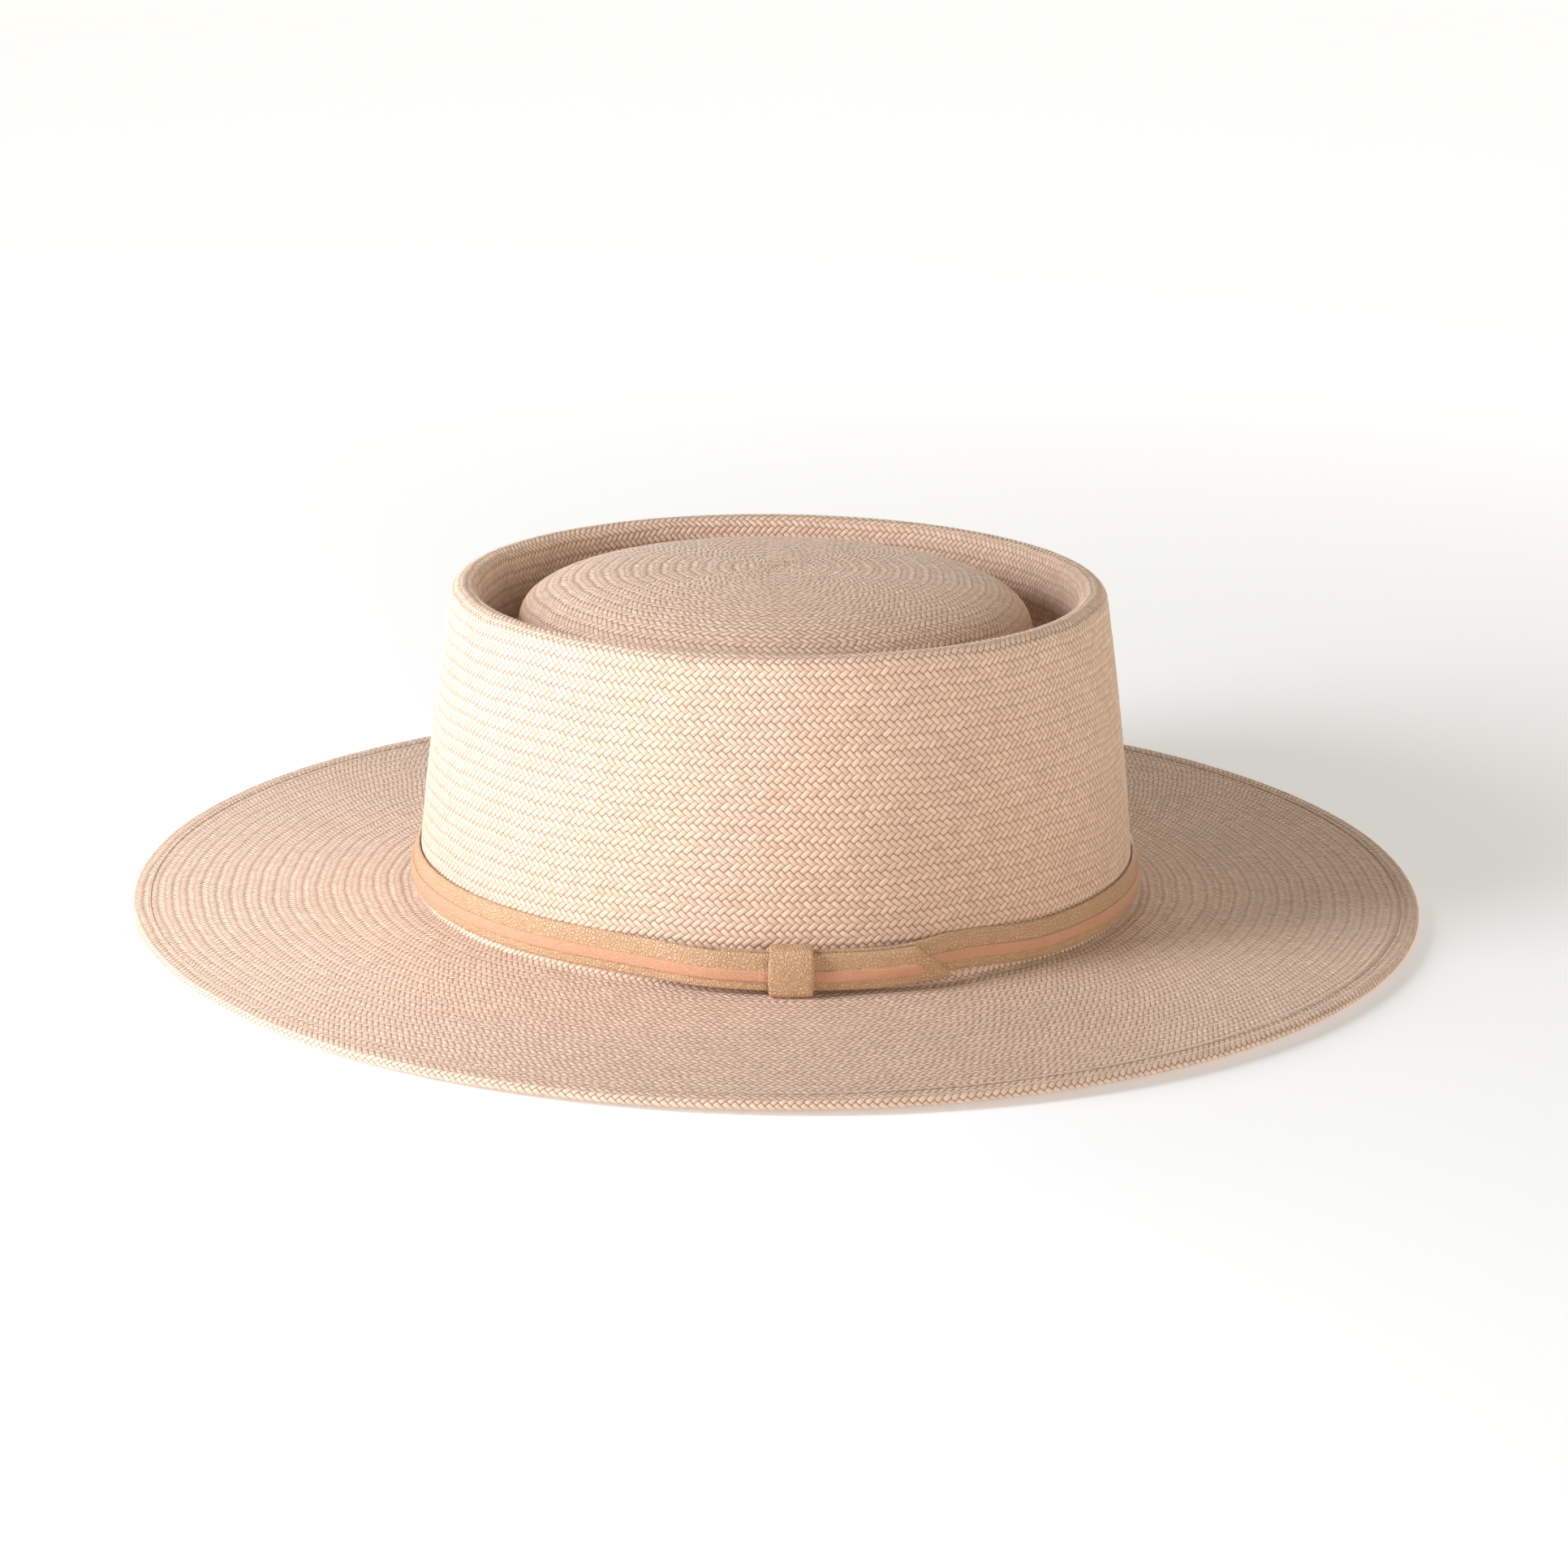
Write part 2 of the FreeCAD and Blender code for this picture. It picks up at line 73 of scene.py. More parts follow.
def lofted(name: str, columns: int, rows: int, close: Close, place: Placer) -> bpy.types.Object:
    """Makes a mesh from a grid that is rolled up and shaped by a function.

    Args:
        name: the piece's name.
        columns: how many faces the grid has in its first direction.
        rows: how many faces it has in its second direction.
        close: which directions are joined end to end.
        place: takes the two directions' shares, 0 to 1, and returns the points in millimetres.

    Returns:
        The new object, at the origin.
    """
    shape = bmesh.new()
    bmesh.ops.create_grid(shape, x_segments=columns, y_segments=rows, size=0.5)
    shape.verts.ensure_lookup_table()
    wide, tall = columns + 1, rows + 1
    targets = {}
    if close in (Close.ROUND, Close.BOTH):
        targets.update({row * wide + columns: row * wide for row in range(tall)})
    if close in (Close.SECTION, Close.BOTH):
        last = rows * wide
        targets.update({last + column: column for column in range(wide - (close is Close.BOTH))})
        if close is Close.BOTH:
            targets[last + columns] = 0
    verts = shape.verts
    bmesh.ops.weld_verts(shape, targetmap={verts[a]: verts[b] for a, b in targets.items()})
    mesh = bpy.data.meshes.new(name)
    shape.to_mesh(mesh)
    shape.free()
    flat = vertex_points(mesh)
    mesh.vertices.foreach_set("co", (place(flat[:, 0] + 0.5, flat[:, 1] + 0.5) * MM).ravel())
    mesh.polygons.foreach_set("use_smooth", np.ones(len(mesh.polygons), bool))
    mesh.update()
    piece = bpy.data.objects.new(name, mesh)
    bpy.context.scene.collection.objects.link(piece)
    return piece


def vertex_points(mesh: bpy.types.Mesh) -> Array:
    """Returns a mesh's vertex places, one row each."""
    flat = np.zeros(len(mesh.vertices) * 3, np.float32)
    mesh.vertices.foreach_get("co", flat)
    return flat.reshape(-1, 3).astype(float)


def close_shell(piece: bpy.types.Object, gap: float = 0.002) -> None:
    """Merges points that meet and turns a closed shell's faces outwards.

    Args:
        piece: the object to mend.
        gap: how near two points are when they count as one, in millimetres.
    """
    shape = bmesh.new()
    shape.from_mesh(piece.data)
    bmesh.ops.remove_doubles(shape, verts=shape.verts[:], dist=gap * MM)
    bmesh.ops.dissolve_degenerate(shape, dist=gap * MM / 4, edges=shape.edges[:])
    bmesh.ops.recalc_face_normals(shape, faces=shape.faces[:])
    shape.to_mesh(piece.data)
    shape.free()
    piece.data.update()


def rounded_section(thick: float, tall: float, radius: float, faces: int, dome: float = 0.0) -> Array:
    """Returns the outline of a strip's section, from its back foot round to its start.

    Args:
        thick: the strip's thickness in millimetres.
        tall: the strip's height in millimetres.
        radius: how round its four long edges are.
        faces: how many faces each broad side has.
        dome: how far the front side swells in its middle.

    Returns:
        Rows of (outward, upward) in millimetres; the last row repeats the first.
    """
    climb = np.linspace(radius, tall - radius, faces + 1)
    swell = dome * (1 - (2 * climb / tall - 1) ** 2)
    turns = np.radians(np.linspace(0, 90, 5))[1:-1]
    rise, fall = radius * np.sin(turns), radius * (1 - np.cos(turns))
    front = np.column_stack([thick + swell, climb])
    back = np.column_stack([np.zeros(faces + 1), climb[::-1]])
    top_front = np.column_stack([thick - fall, tall - radius + rise])
    top_back = np.column_stack([fall[::-1], tall - radius + rise[::-1]])
    foot_back = np.column_stack([fall, radius - rise])
    foot_front = np.column_stack([thick - fall[::-1], radius - rise[::-1]])
    level = [[thick - radius, tall], [radius, tall], [radius, 0], [thick - radius, 0]]
    rows = [front, top_front, level[:2], top_back, back, foot_back, level[2:], foot_front, front[:1]]
    return np.vstack(rows)


def along(stops: Array, share: Array) -> Array:
    """Returns the stops' values at the shares of a grid, one stop to a grid line."""
    return stops[np.rint(share * (len(stops) - 1)).astype(int)]


def swept(name: str, columns: int, section: Array, place: Placer, close: Close = Close.BOTH) -> bpy.types.Object:
    """Makes a strip whose function takes shares of its length and (outward, upward) places in its section."""
    return lofted(name, columns, len(section) - 1, close, lambda share, around: place(share, along(section, around)))


def stand_for(piece: bpy.types.Object, material: bpy.types.Material, body: str, slot: str, *nodes: str) -> None:
    """Gives a piece its material, ties it to its body, and hides the CAD nodes that it replaces."""
    piece.data.materials.append(material)
    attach(piece, body)
    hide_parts(*nodes)
    log.info("%s: %d faces, rides %s", piece.name, len(piece.data.polygons), body)


# --- shader networks ---


class Wiring:
    """Adds nodes to a tree and joins them up."""

    def __init__(self, tree: bpy.types.NodeTree) -> None:
        """Keeps the tree that the nodes go into."""
        self.tree = tree

    def node(self, kind: str, links: dict | None = None, **settings: object) -> bpy.types.Node:
        """Adds one node.

        Args:
            kind: the node's type name.
            links: for each input's name or number, the socket or value that it gets.
            settings: the node's own properties.

        Returns:
            The new node.
        """
        made = self.tree.nodes.new(kind)
        for key, value in settings.items():
            setattr(made, key, value)
        for key, value in (links or {}).items():
            if isinstance(value, bpy.types.NodeSocket):
                self.tree.links.new(value, made.inputs[key])
            else:
                made.inputs[key].default_value = value
        return made

    def math(self, operation: str, *values: float | Socket, clamp: bool = False) -> Socket:
        """Adds a Math node and returns its result."""
        links = dict(enumerate(values))
        return self.node("ShaderNodeMath", links, operation=operation, use_clamp=clamp).outputs[0]

    def blend(self, share: float | Socket, first: float | Socket, second: float | Socket) -> Socket:
        """Adds a mix of two numbers and returns it."""
        return self.node("ShaderNodeMix", {0: share, 2: first, 3: second}, data_type="FLOAT").outputs[0]

    def tint(self, share: float | Socket, first: object, second: object) -> Socket:
        """Adds a mix of two colours and returns it."""
        return self.node("ShaderNodeMix", {0: share, 6: first, 7: second}, data_type="RGBA").outputs[2]

    def spread(self, value: Socket, low: float, high: float, to_low: float, to_high: float) -> Socket:
        """Adds a clamped change of range and returns its result."""
        links = {0: value, 1: low, 2: high, 3: to_low, 4: to_high}
        return self.node("ShaderNodeMapRange", links).outputs[0]

    def off_middle(self, share: Socket) -> Socket:
        """Adds how far a share is from its middle, 0 to 1, and returns it."""
        return self.math("ABSOLUTE", self.math("SUBTRACT", self.math("MULTIPLY", share, 2.0), 1.0))

    def vector(self, *parts: float | Socket) -> Socket:
        """Adds a vector made of up to three numbers and returns it."""
        return self.node("ShaderNodeCombineXYZ", dict(enumerate(parts))).outputs[0]

    def noise(self, place: Socket, scale: float, detail: float = 2.0, roughness: float = 0.5) -> Socket:
        """Adds a noise texture and returns its factor."""
        links = {"Vector": place, "Scale": scale, "Detail": detail, "Roughness": roughness}
        return self.node("ShaderNodeTexNoise", links).outputs[0]


class ShaderGroup:
    """A shader node group that several materials share."""

    def __init__(self, name: str, takes: dict[str, str], gives: dict[str, str]) -> None:
        """Makes the group's tree and its named sockets.

        Args:
            name: the group's name.
            takes: the type of each input, by name.
            gives: the type of each output, by name.
        """
        self.tree = bpy.data.node_groups.new(name, "ShaderNodeTree")
        for direction, sockets in (("INPUT", takes), ("OUTPUT", gives)):
            for socket, kind in sockets.items():
                self.tree.interface.new_socket(name=socket, in_out=direction, socket_type=kind)
        self.wiring = Wiring(self.tree)
        self.inside = self.tree.nodes.new("NodeGroupInput").outputs
        self.results = self.tree.nodes.new("NodeGroupOutput").inputs

    def give(self, name: str, value: Socket) -> None:
        """Joins a socket to one of the group's outputs."""
        self.tree.links.new(value, self.results[name])

    def place_in(self, wiring: Wiring, **values: object) -> bpy.types.NodeOutputs:
        """Adds this group to a material and returns its outputs."""
        links = {name.replace("_", " "): value for name, value in values.items()}
        return wiring.node("ShaderNodeGroup", links, node_tree=self.tree).outputs


FLOAT = "NodeSocketFloat"
VECTOR = "NodeSocketVector"


@dataclass(frozen=True)
class Plait:
    """The shape of one strand where it floats over its neighbours, the same in the mesh and in the shader."""

    edge_power: float = 2.6
    edge_round: float = 0.5
    arch_power: float = 3.6
    tuck_share: float = 0.2
    tuck_depth: float = 0.35
    lowest: float = 0.35
    middle: float = 0.62


PLAIT = Plait()


def twill_group() -> ShaderGroup:
    """Builds the straw's diagonal two-over-two-under plait.

    Returns:
        A group that turns a place in the weave into its height, its seam shade (a mask for the grooves between
        strands, used for their real dark gaps and for painted shade), strand tints and fibres.
    """
    gives = {name: FLOAT for name in ("Height", "Seam", "Float Tint", "Strand Tint", "Fibre")}
    group = ShaderGroup("twill plait", {"Place": VECTOR}, gives)
    w = group.wiring
    parts = w.node("ShaderNodeSeparateXYZ", {0: group.inside["Place"]}).outputs
    first = w.math("ADD", parts[0], parts[1])
    second = w.math("SUBTRACT", parts[1], parts[0])
    cell_a, cell_b = w.math("FLOOR", first), w.math("FLOOR", second)
    in_a, in_b = w.math("FRACT", first), w.math("FRACT", second)
    phase = w.math("FLOORED_MODULO", w.math("ADD", cell_a, cell_b), 4.0)
    other_way = w.math("GREATER_THAN", phase, 1.5)
    late = w.math("FLOORED_MODULO", phase, 2.0)
    lengthwise = w.math("MULTIPLY", w.math("ADD", w.blend(other_way, in_a, in_b), late), 0.5)
    across = w.blend(other_way, in_b, in_a)
    side = w.math("SUBTRACT", 1.0, w.math("POWER", w.off_middle(across), PLAIT.edge_power), clamp=True)
    ridge = w.math("POWER", side, PLAIT.edge_round)
    arch = w.math("SUBTRACT", 1.0, w.math("POWER", w.off_middle(lengthwise), PLAIT.arch_power))
    gap_end = w.blend(other_way, lengthwise, w.math("SUBTRACT", 1.0, lengthwise))
    arch = w.math("SUBTRACT", arch, w.spread(gap_end, 0.0, PLAIT.tuck_share, PLAIT.tuck_depth, 0.0))
    body = w.math("ADD", w.math("MULTIPLY", arch, 1 - PLAIT.lowest), PLAIT.lowest)
    height = w.math("MULTIPLY", ridge, body)
    one_way = w.math("SUBTRACT", 1.0, other_way)
    float_a = w.math("SUBTRACT", cell_a, w.math("MULTIPLY", late, one_way))
    float_b = w.math("SUBTRACT", cell_b, w.math("MULTIPLY", late, other_way))
    key = w.vector(float_a, float_b, other_way)
    tint = w.node("ShaderNodeTexWhiteNoise", {0: key}, noise_dimensions="3D").outputs["Value"]
    strand = w.vector(w.blend(other_way, cell_b, cell_a), other_way)
    strand_tint = w.node("ShaderNodeTexWhiteNoise", {0: strand}, noise_dimensions="2D").outputs["Value"]
    stretch = ((across, 9.0), (lengthwise, 1.6), (tint, 61.0))
    lines = w.vector(*(w.math("MULTIPLY", value, size) for value, size in stretch))
    group.give("Height", height)
    # The seam mask is 1 in the low grooves between strands; it marks both their real dark gaps and the painted shade
    # in them.
    group.give("Seam", w.spread(height, 0.1, PLAIT.middle, 1.0, 0.0))
    group.give("Float Tint", tint)
    group.give("Strand Tint", strand_tint)
    group.give("Fibre", w.noise(lines, 1.0))
    return group


def leather_group() -> ShaderGroup:
    """Builds the pebbled grain of leather.

    Returns:
        A group that turns a position and a pebble size into the grain's height and shade.
    """
    group = ShaderGroup("leather grain", {"Position": VECTOR, "Fineness": FLOAT}, {"Height": FLOAT, "Shade": FLOAT})
    w = group.wiring
    place, fineness = group.inside["Position"], group.inside["Fineness"]
    wander = w.node("ShaderNodeTexNoise", {"Vector": place, "Scale": 900.0, "Detail": 1.0}).outputs["Color"]
    shift = w.node("ShaderNodeVectorMath", {0: wander, 1: (0.0005, 0.0005, 0.0005)}, operation="MULTIPLY").outputs[0]
    bent = w.node("ShaderNodeVectorMath", {0: place, 1: shift}, operation="ADD").outputs[0]
    cells = {"Vector": bent, "Scale": fineness, "Randomness": 1.0}
    edge = w.node("ShaderNodeTexVoronoi", cells, feature="DISTANCE_TO_EDGE").outputs["Distance"]
    pebble = w.spread(edge, 0.0, 0.22, 0.0, 1.0)
    broad = w.noise(place, 260.0, 3.0)
    group.give("Height", w.math("ADD", pebble, w.math("MULTIPLY", broad, 0.5)))
    group.give("Shade", w.math("ADD", w.math("MULTIPLY", pebble, 0.6), w.math("MULTIPLY", broad, 0.4)))
    return group


@dataclass(frozen=True)
class Finish:
    """What every finish has: its name, its tone, and the depth of its relief in millimetres."""

    name: str
    colour: tuple[float, float, float]
    roughness: float = 0.6
    specular: float = 0.35
    sheen: float = 0.0
    relief: float = 0.02

    def start(self) -> tuple[bpy.types.Material, Wiring, bpy.types.Node, Socket]:
        """Makes the material, and returns it with its wiring, its shader node and its object coordinates."""
        material = bpy.data.materials.new(self.name)
        material.use_nodes = True
        wiring = Wiring(material.node_tree)
        shader = material.node_tree.nodes["Principled BSDF"]
        shader.inputs["Specular IOR Level"].default_value = self.specular
        shader.inputs["Sheen Weight"].default_value = self.sheen
        shader.inputs["Sheen Roughness"].default_value = 0.5
        material.diffuse_color = (*self.colour, 1.0)
        return material, wiring, shader, wiring.node("ShaderNodeTexCoord").outputs["Object"]

    def finish(self, wiring: Wiring, shader: bpy.types.Node, colour: Socket, rough: Socket, height: Socket) -> None:
        """Joins a colour, a roughness and a height to the shader."""
        bump = wiring.node("ShaderNodeBump", {"Height": height, "Distance": self.relief * MM, "Strength": 1.0})
        joined = {"Base Color": colour, "Roughness": rough, "Normal": bump.outputs[0]}
        for name, socket in joined.items():
            wiring.tree.links.new(socket, shader.inputs[name])

    def shade(self, *shares: float) -> tuple[float, float, float, float]:
        """Returns this finish's colour times one factor, or times one factor for each channel."""
        factors = shares * 3 if len(shares) == 1 else shares
        return (*(min(1.0, part * factor) for part, factor in zip(self.colour, factors)), 1.0)


@dataclass(frozen=True)
class StrawFinish(Finish):
    """Bleached palm straw, plaited, with a slightly different tone in every strand."""

    # The seam colour and depth darken the grooves between strands: partly real dark gaps, partly painted shade.
    seam_shade_colour: tuple[float, float, float] = (0.26, 0.12, 0.06)
    seam_shade_depth: float = 0.92
    relief: float = 0.28
    pale_strand: tuple[float, float, float] = (1.1, 1.13, 1.17)
    odd_strand: tuple[float, float, float] = (0.8, 0.7, 0.6)

    def build(self, plait: ShaderGroup) -> bpy.types.Material:
        """Builds the material, reading the piece's own weave map."""
        material, w, shader, position = self.start()
        place = w.node("ShaderNodeUVMap", uv_map="weave").outputs[0]
        weave = plait.place_in(w, Place=place)
        tone = w.math("MULTIPLY", weave["Float Tint"], 0.45)
        tone = w.math("ADD", tone, w.math("MULTIPLY", weave["Strand Tint"], 0.3))
        tone = w.math("ADD", tone, w.math("MULTIPLY", w.noise(position, 32.0, 3.0), 0.25), clamp=True)
        straw = w.tint(tone, self.shade(0.82), self.shade(*self.pale_strand))
        odd = w.math("GREATER_THAN", weave["Float Tint"], 0.985)
        straw = w.tint(w.math("MULTIPLY", odd, 0.4), straw, self.shade(*self.odd_strand))
        fibre = w.spread(weave["Fibre"], 0.3, 0.7, 0.0, 1.0)
        straw = w.tint(w.blend(fibre, 0.16, 0.0), straw, self.shade(0.55))
        # Painted shade together with the real gaps: the straw turns towards the seam colour in the low grooves between
        # strands.
        seam = w.math("MULTIPLY", weave["Seam"], self.seam_shade_depth)
        colour = w.tint(seam, straw, (*self.seam_shade_colour, 1.0))
        rough = w.blend(fibre, self.roughness + 0.1, self.roughness - 0.06)
        height = w.math("ADD", weave["Height"], w.math("MULTIPLY", fibre, 0.09))
        self.finish(w, shader, colour, rough, height)
        return material


@dataclass(frozen=True)
class LeatherFinish(Finish):
    """Grained leather, a little darker in its creases."""

    fineness: float = 1050.0
    crease: float = 0.74
    relief: float = 0.2

    def build(self, grain: ShaderGroup) -> bpy.types.Material:
        """Builds the material on object coordinates."""
        material, w, shader, position = self.start()
        hide = grain.place_in(w, Position=position, Fineness=self.fineness)
        cloud = w.noise(position, 60.0, 4.0, 0.6)
        colour = w.tint(hide["Shade"], self.shade(self.crease), self.shade(1.06))
        colour = w.tint(w.spread(cloud, 0.35, 0.7, 0.0, 0.35), colour, self.shade(0.88))
        rough = w.blend(hide["Shade"], self.roughness + 0.12, self.roughness - 0.08)
        self.finish(w, shader, colour, rough, hide["Height"])
        return material


@dataclass(frozen=True)
class ThreadFinish(Finish):
    """Twisted cotton: fine slanting lines along a thread, a tape or a ribbon."""

    lines: float = 2600.0
    slant: tuple[float, float, float] = (0.3, 0.4, 1.0)
    relief: float = 0.05

    def build(self) -> bpy.types.Material:
        """Builds the material on object coordinates."""
        material, w, shader, position = self.start()
        turn = w.node("ShaderNodeVectorMath", {0: position, 1: self.slant}, operation="DOT_PRODUCT").outputs["Value"]
        wave = w.math("SINE", w.math("MULTIPLY", turn, self.lines * math.tau))
        ribs = w.spread(wave, -1.0, 1.0, 0.0, 1.0)
        fluff = w.noise(position, 3000.0, 2.0)
        colour = w.tint(ribs, self.shade(0.78), self.shade(1.05))
        colour = w.tint(w.math("MULTIPLY", fluff, 0.3), colour, self.shade(0.8))
        rough = w.blend(fluff, self.roughness, self.roughness + 0.15)
        self.finish(w, shader, colour, rough, w.math("ADD", ribs, w.math("MULTIPLY", fluff, 0.4)))
        return material


@dataclass(frozen=True)
class RodFinish(Finish):
    """Smooth moulded plastic with faint flow marks and scuffs."""

    def build(self) -> bpy.types.Material:
        """Builds the material on object coordinates."""
        material, w, shader, position = self.start()
        marks = w.noise(position, 700.0, 4.0, 0.6)
        colour = w.tint(marks, self.shade(0.9), self.shade(1.04))
        self.finish(w, shader, colour, w.blend(marks, self.roughness - 0.1, self.roughness + 0.15), marks)
        return material


@dataclass(frozen=True)
class FloorFinish(Finish):
    """A plain pale sweep, very slightly mottled, that glows a little more away from the hat."""

    glow: float = 0.0
    glow_away: float = 0.0

    def build(self) -> bpy.types.Material:
        """Builds the material on object coordinates."""
        material, w, shader, position = self.start()
        mottle = w.noise(position, 9.0, 2.0)
        w.tree.links.new(w.tint(mottle, self.shade(0.985), self.shade(1.0)), shader.inputs["Base Color"])
        shader.inputs["Roughness"].default_value = self.roughness
        away = w.node("ShaderNodeVectorMath", {0: position}, operation="LENGTH").outputs["Value"]
        near, far = ((glow, glow, glow, 1.0) for glow in (self.glow, self.glow_away))
        w.tree.links.new(w.tint(w.spread(away, 0.2, 0.7, 0.0, 1.0), near, far), shader.inputs["Emission Color"])
        shader.inputs["Emission Strength"].default_value = 1.0
        return material


class Finishes:
    """All the hat's materials, built once."""

    def __init__(self) -> None:
        """Builds the shared groups and every material."""
        plait, grain = twill_group(), leather_group()
        straw = (0.85, 0.59, 0.435)
        self.straw = StrawFinish("bleached palm straw", straw, 0.58, 0.3, 0.1).build(plait)
        self.straw_inside = StrawFinish("palm straw lining side", (0.66, 0.46, 0.335), 0.66, 0.25, 0.1).build(plait)
        self.tan = LeatherFinish("tan strap leather", (0.67, 0.41, 0.235), 0.45, 0.5).build(grain)
        self.pink = LeatherFinish(
            "rose stripe leather", (0.76, 0.385, 0.235), 0.62, 0.3, 0.15, fineness=1700.0, crease=0.8, relief=0.12
        ).build(grain)
        self.sweat = LeatherFinish(
            "sweatband leather", (0.56, 0.36, 0.225), 0.55, 0.35, fineness=1900.0, crease=0.86, relief=0.03
        ).build(grain)
        self.thread = ThreadFinish("cotton thread", (0.66, 0.48, 0.36), 0.75, 0.2, 0.1).build()
        self.tape = ThreadFinish("cotton tape", (0.62, 0.48, 0.36), 0.8, 0.15, 0.2, lines=1500.0).build()
        self.ribbon = ThreadFinish(
            "ribbed ribbon", (0.46, 0.29, 0.19), 0.6, 0.3, 0.2, lines=1700.0, slant=(0.0, 0.0, 1.0)
        ).build()
        self.reed = RodFinish("reed plastic", (0.78, 0.76, 0.7), 0.35, 0.5).build()
        self.floor = FloorFinish("pale sweep", (0.93, 0.93, 0.93), 0.9, 0.1, glow=0.26, glow_away=0.6).build()


# --- the straw body ---


@dataclass(frozen=True)
class Outline:
    """The hat's outline on its long side, in millimetres, and how its ovals narrow."""

    brim_length: float = 182.3
    brim_width: float = 164.6
    straw_thick: float = 1.3
    hem_width: float = 6.0
    brim_rise: float = 0.4
    base_length: float = 101.6
    oval_step: float = 16.0
    break_round: float = 1.5
    soft_break: float = 2.0
    wall_bulge: float = 0.8
    rim_length: float = 87.8
    rim_height: float = 91.7
    rim_round: float = 3.9
    wall_lean: float = 7.0
    moat_length: float = 77.0
    moat_bottom: float = 70.5
    moat_round: float = 5.0
    dome_height: float = 95.8
    dome_power: float = 3.2
    dome_shift: float = -1.3
    brim_lift: float = 1.7
    lift_bearing: float = -58.0
    lift_spread: float = 58.0
    lift_start: float = 112.0
    dome_blend: float = 8.0

    def settle(self, points: Array, turn: Array, reach: Array) -> Array:
        """Moves points, in place, as the soft straw has settled: the brim lifts, the dome sits off centre."""
        aside = np.degrees(np.arctan2(*(f(turn - math.radians(self.lift_bearing)) for f in (np.sin, np.cos))))
        out = np.clip((reach - self.lift_start) / (self.brim_length - self.lift_start), 0, 1)
        points[:, 2] += self.brim_lift * out**1.6 * np.exp(-((aside / self.lift_spread) ** 2))
        inner = np.clip((self.moat_length - reach) / self.dome_blend, 0, 1)
        points[:, 0] += self.dome_shift * inner * inner * (3 - 2 * inner)
        return points

    def width_at(self, reach: Array) -> Array:
        """Returns the half widths of the ovals whose half lengths are these reaches."""
        inner = self.base_length + self.break_round
        inner_width = inner - self.oval_step
        slope = (self.brim_width - inner_width) / (self.brim_length - inner)
        brim = inner_width + (reach - inner) * slope
        dome = reach * (self.moat_length - self.oval_step) / self.moat_length
        crown = np.where(reach > self.moat_length, reach - self.oval_step, dome)
        return np.where(reach > inner, brim, crown)

    def arc(self, centre: tuple[float, float], radius: float, start: float, end: float) -> Array:
        """Returns points along an arc of the outline between two bearings."""
        turns = np.radians(np.linspace(start, end, max(4, round(abs(end - start) / 3))))
        return np.column_stack([centre[0] + radius * np.cos(turns), centre[1] + radius * np.sin(turns)])

    def bowed(self, foot: Array, head: Array, bulge: float) -> Array:
        """Returns points along a shallow curve that swells to the right of foot to head."""
        share = np.linspace(0, 1, 60)[:, None]
        run = head - foot
        outward = np.array([run[1], -run[0]]) / np.hypot(*run)
        return foot + run * share + outward * (4 * bulge * share * (1 - share))

    def crown(self, inset: float) -> Array:
        """Returns the crown's points from the brim break to the dome's centre, at a depth below its outside."""
        soft = self.soft_break
        turn = (self.base_length + soft, 2 * self.straw_thick + self.brim_rise + soft)
        rim = (self.rim_length, self.rim_height - self.rim_round)
        moat = (self.moat_length, self.moat_bottom + self.moat_round)
        rim_round, moat_round = self.rim_round - inset, self.moat_round + inset
        span = (rim[0] - moat[0], rim[1] - moat[1])
        slope = math.degrees(math.atan2(span[1], span[0]) - math.acos((rim_round + moat_round) / math.hypot(*span)))
        rim_arc = self.arc(rim, rim_round, self.wall_lean, slope + 180)
        break_arc = self.arc(turn, soft + inset, 270, 180)
        wall = self.bowed(break_arc[-1], rim_arc[0], self.wall_bulge)
        foot = self.moat_length - moat_round
        share = np.sin(np.linspace(0, math.pi / 2, 240))[::-1]
        rise = self.dome_height - inset - moat[1]
        dome = np.column_stack([foot * share, moat[1] + rise * (1 - share**self.dome_power) ** (1 / self.dome_power)])
        return np.vstack([break_arc, wall, rim_arc, self.arc(moat, moat_round, slope, -180), dome])

    def outside(self) -> Array:
        """Returns the outer skin's points, from under the hem up to the dome's centre."""
        thick, fold = self.straw_thick, self.brim_length - self.straw_thick
        hem = self.brim_length - self.hem_width
        hem_edge = self.arc((fold, thick), thick, -90, 90)
        return np.vstack([[[hem, thick], [hem, 0.0]], hem_edge, [[hem, 2 * thick]], self.crown(0.0)])

    def inside(self) -> Array:
        """Returns the inner skin's points, from the hem's end up to the dome's centre."""
        hem = self.brim_length - self.hem_width
        return np.vstack([[[hem, self.straw_thick]], self.crown(self.straw_thick)])


@dataclass(frozen=True)
class Ring:
    """One full turn of the plait, between two of its rows."""

    name: str
    first: float
    last: float
    columns: int
    bands: int = 1
    count: int = 0


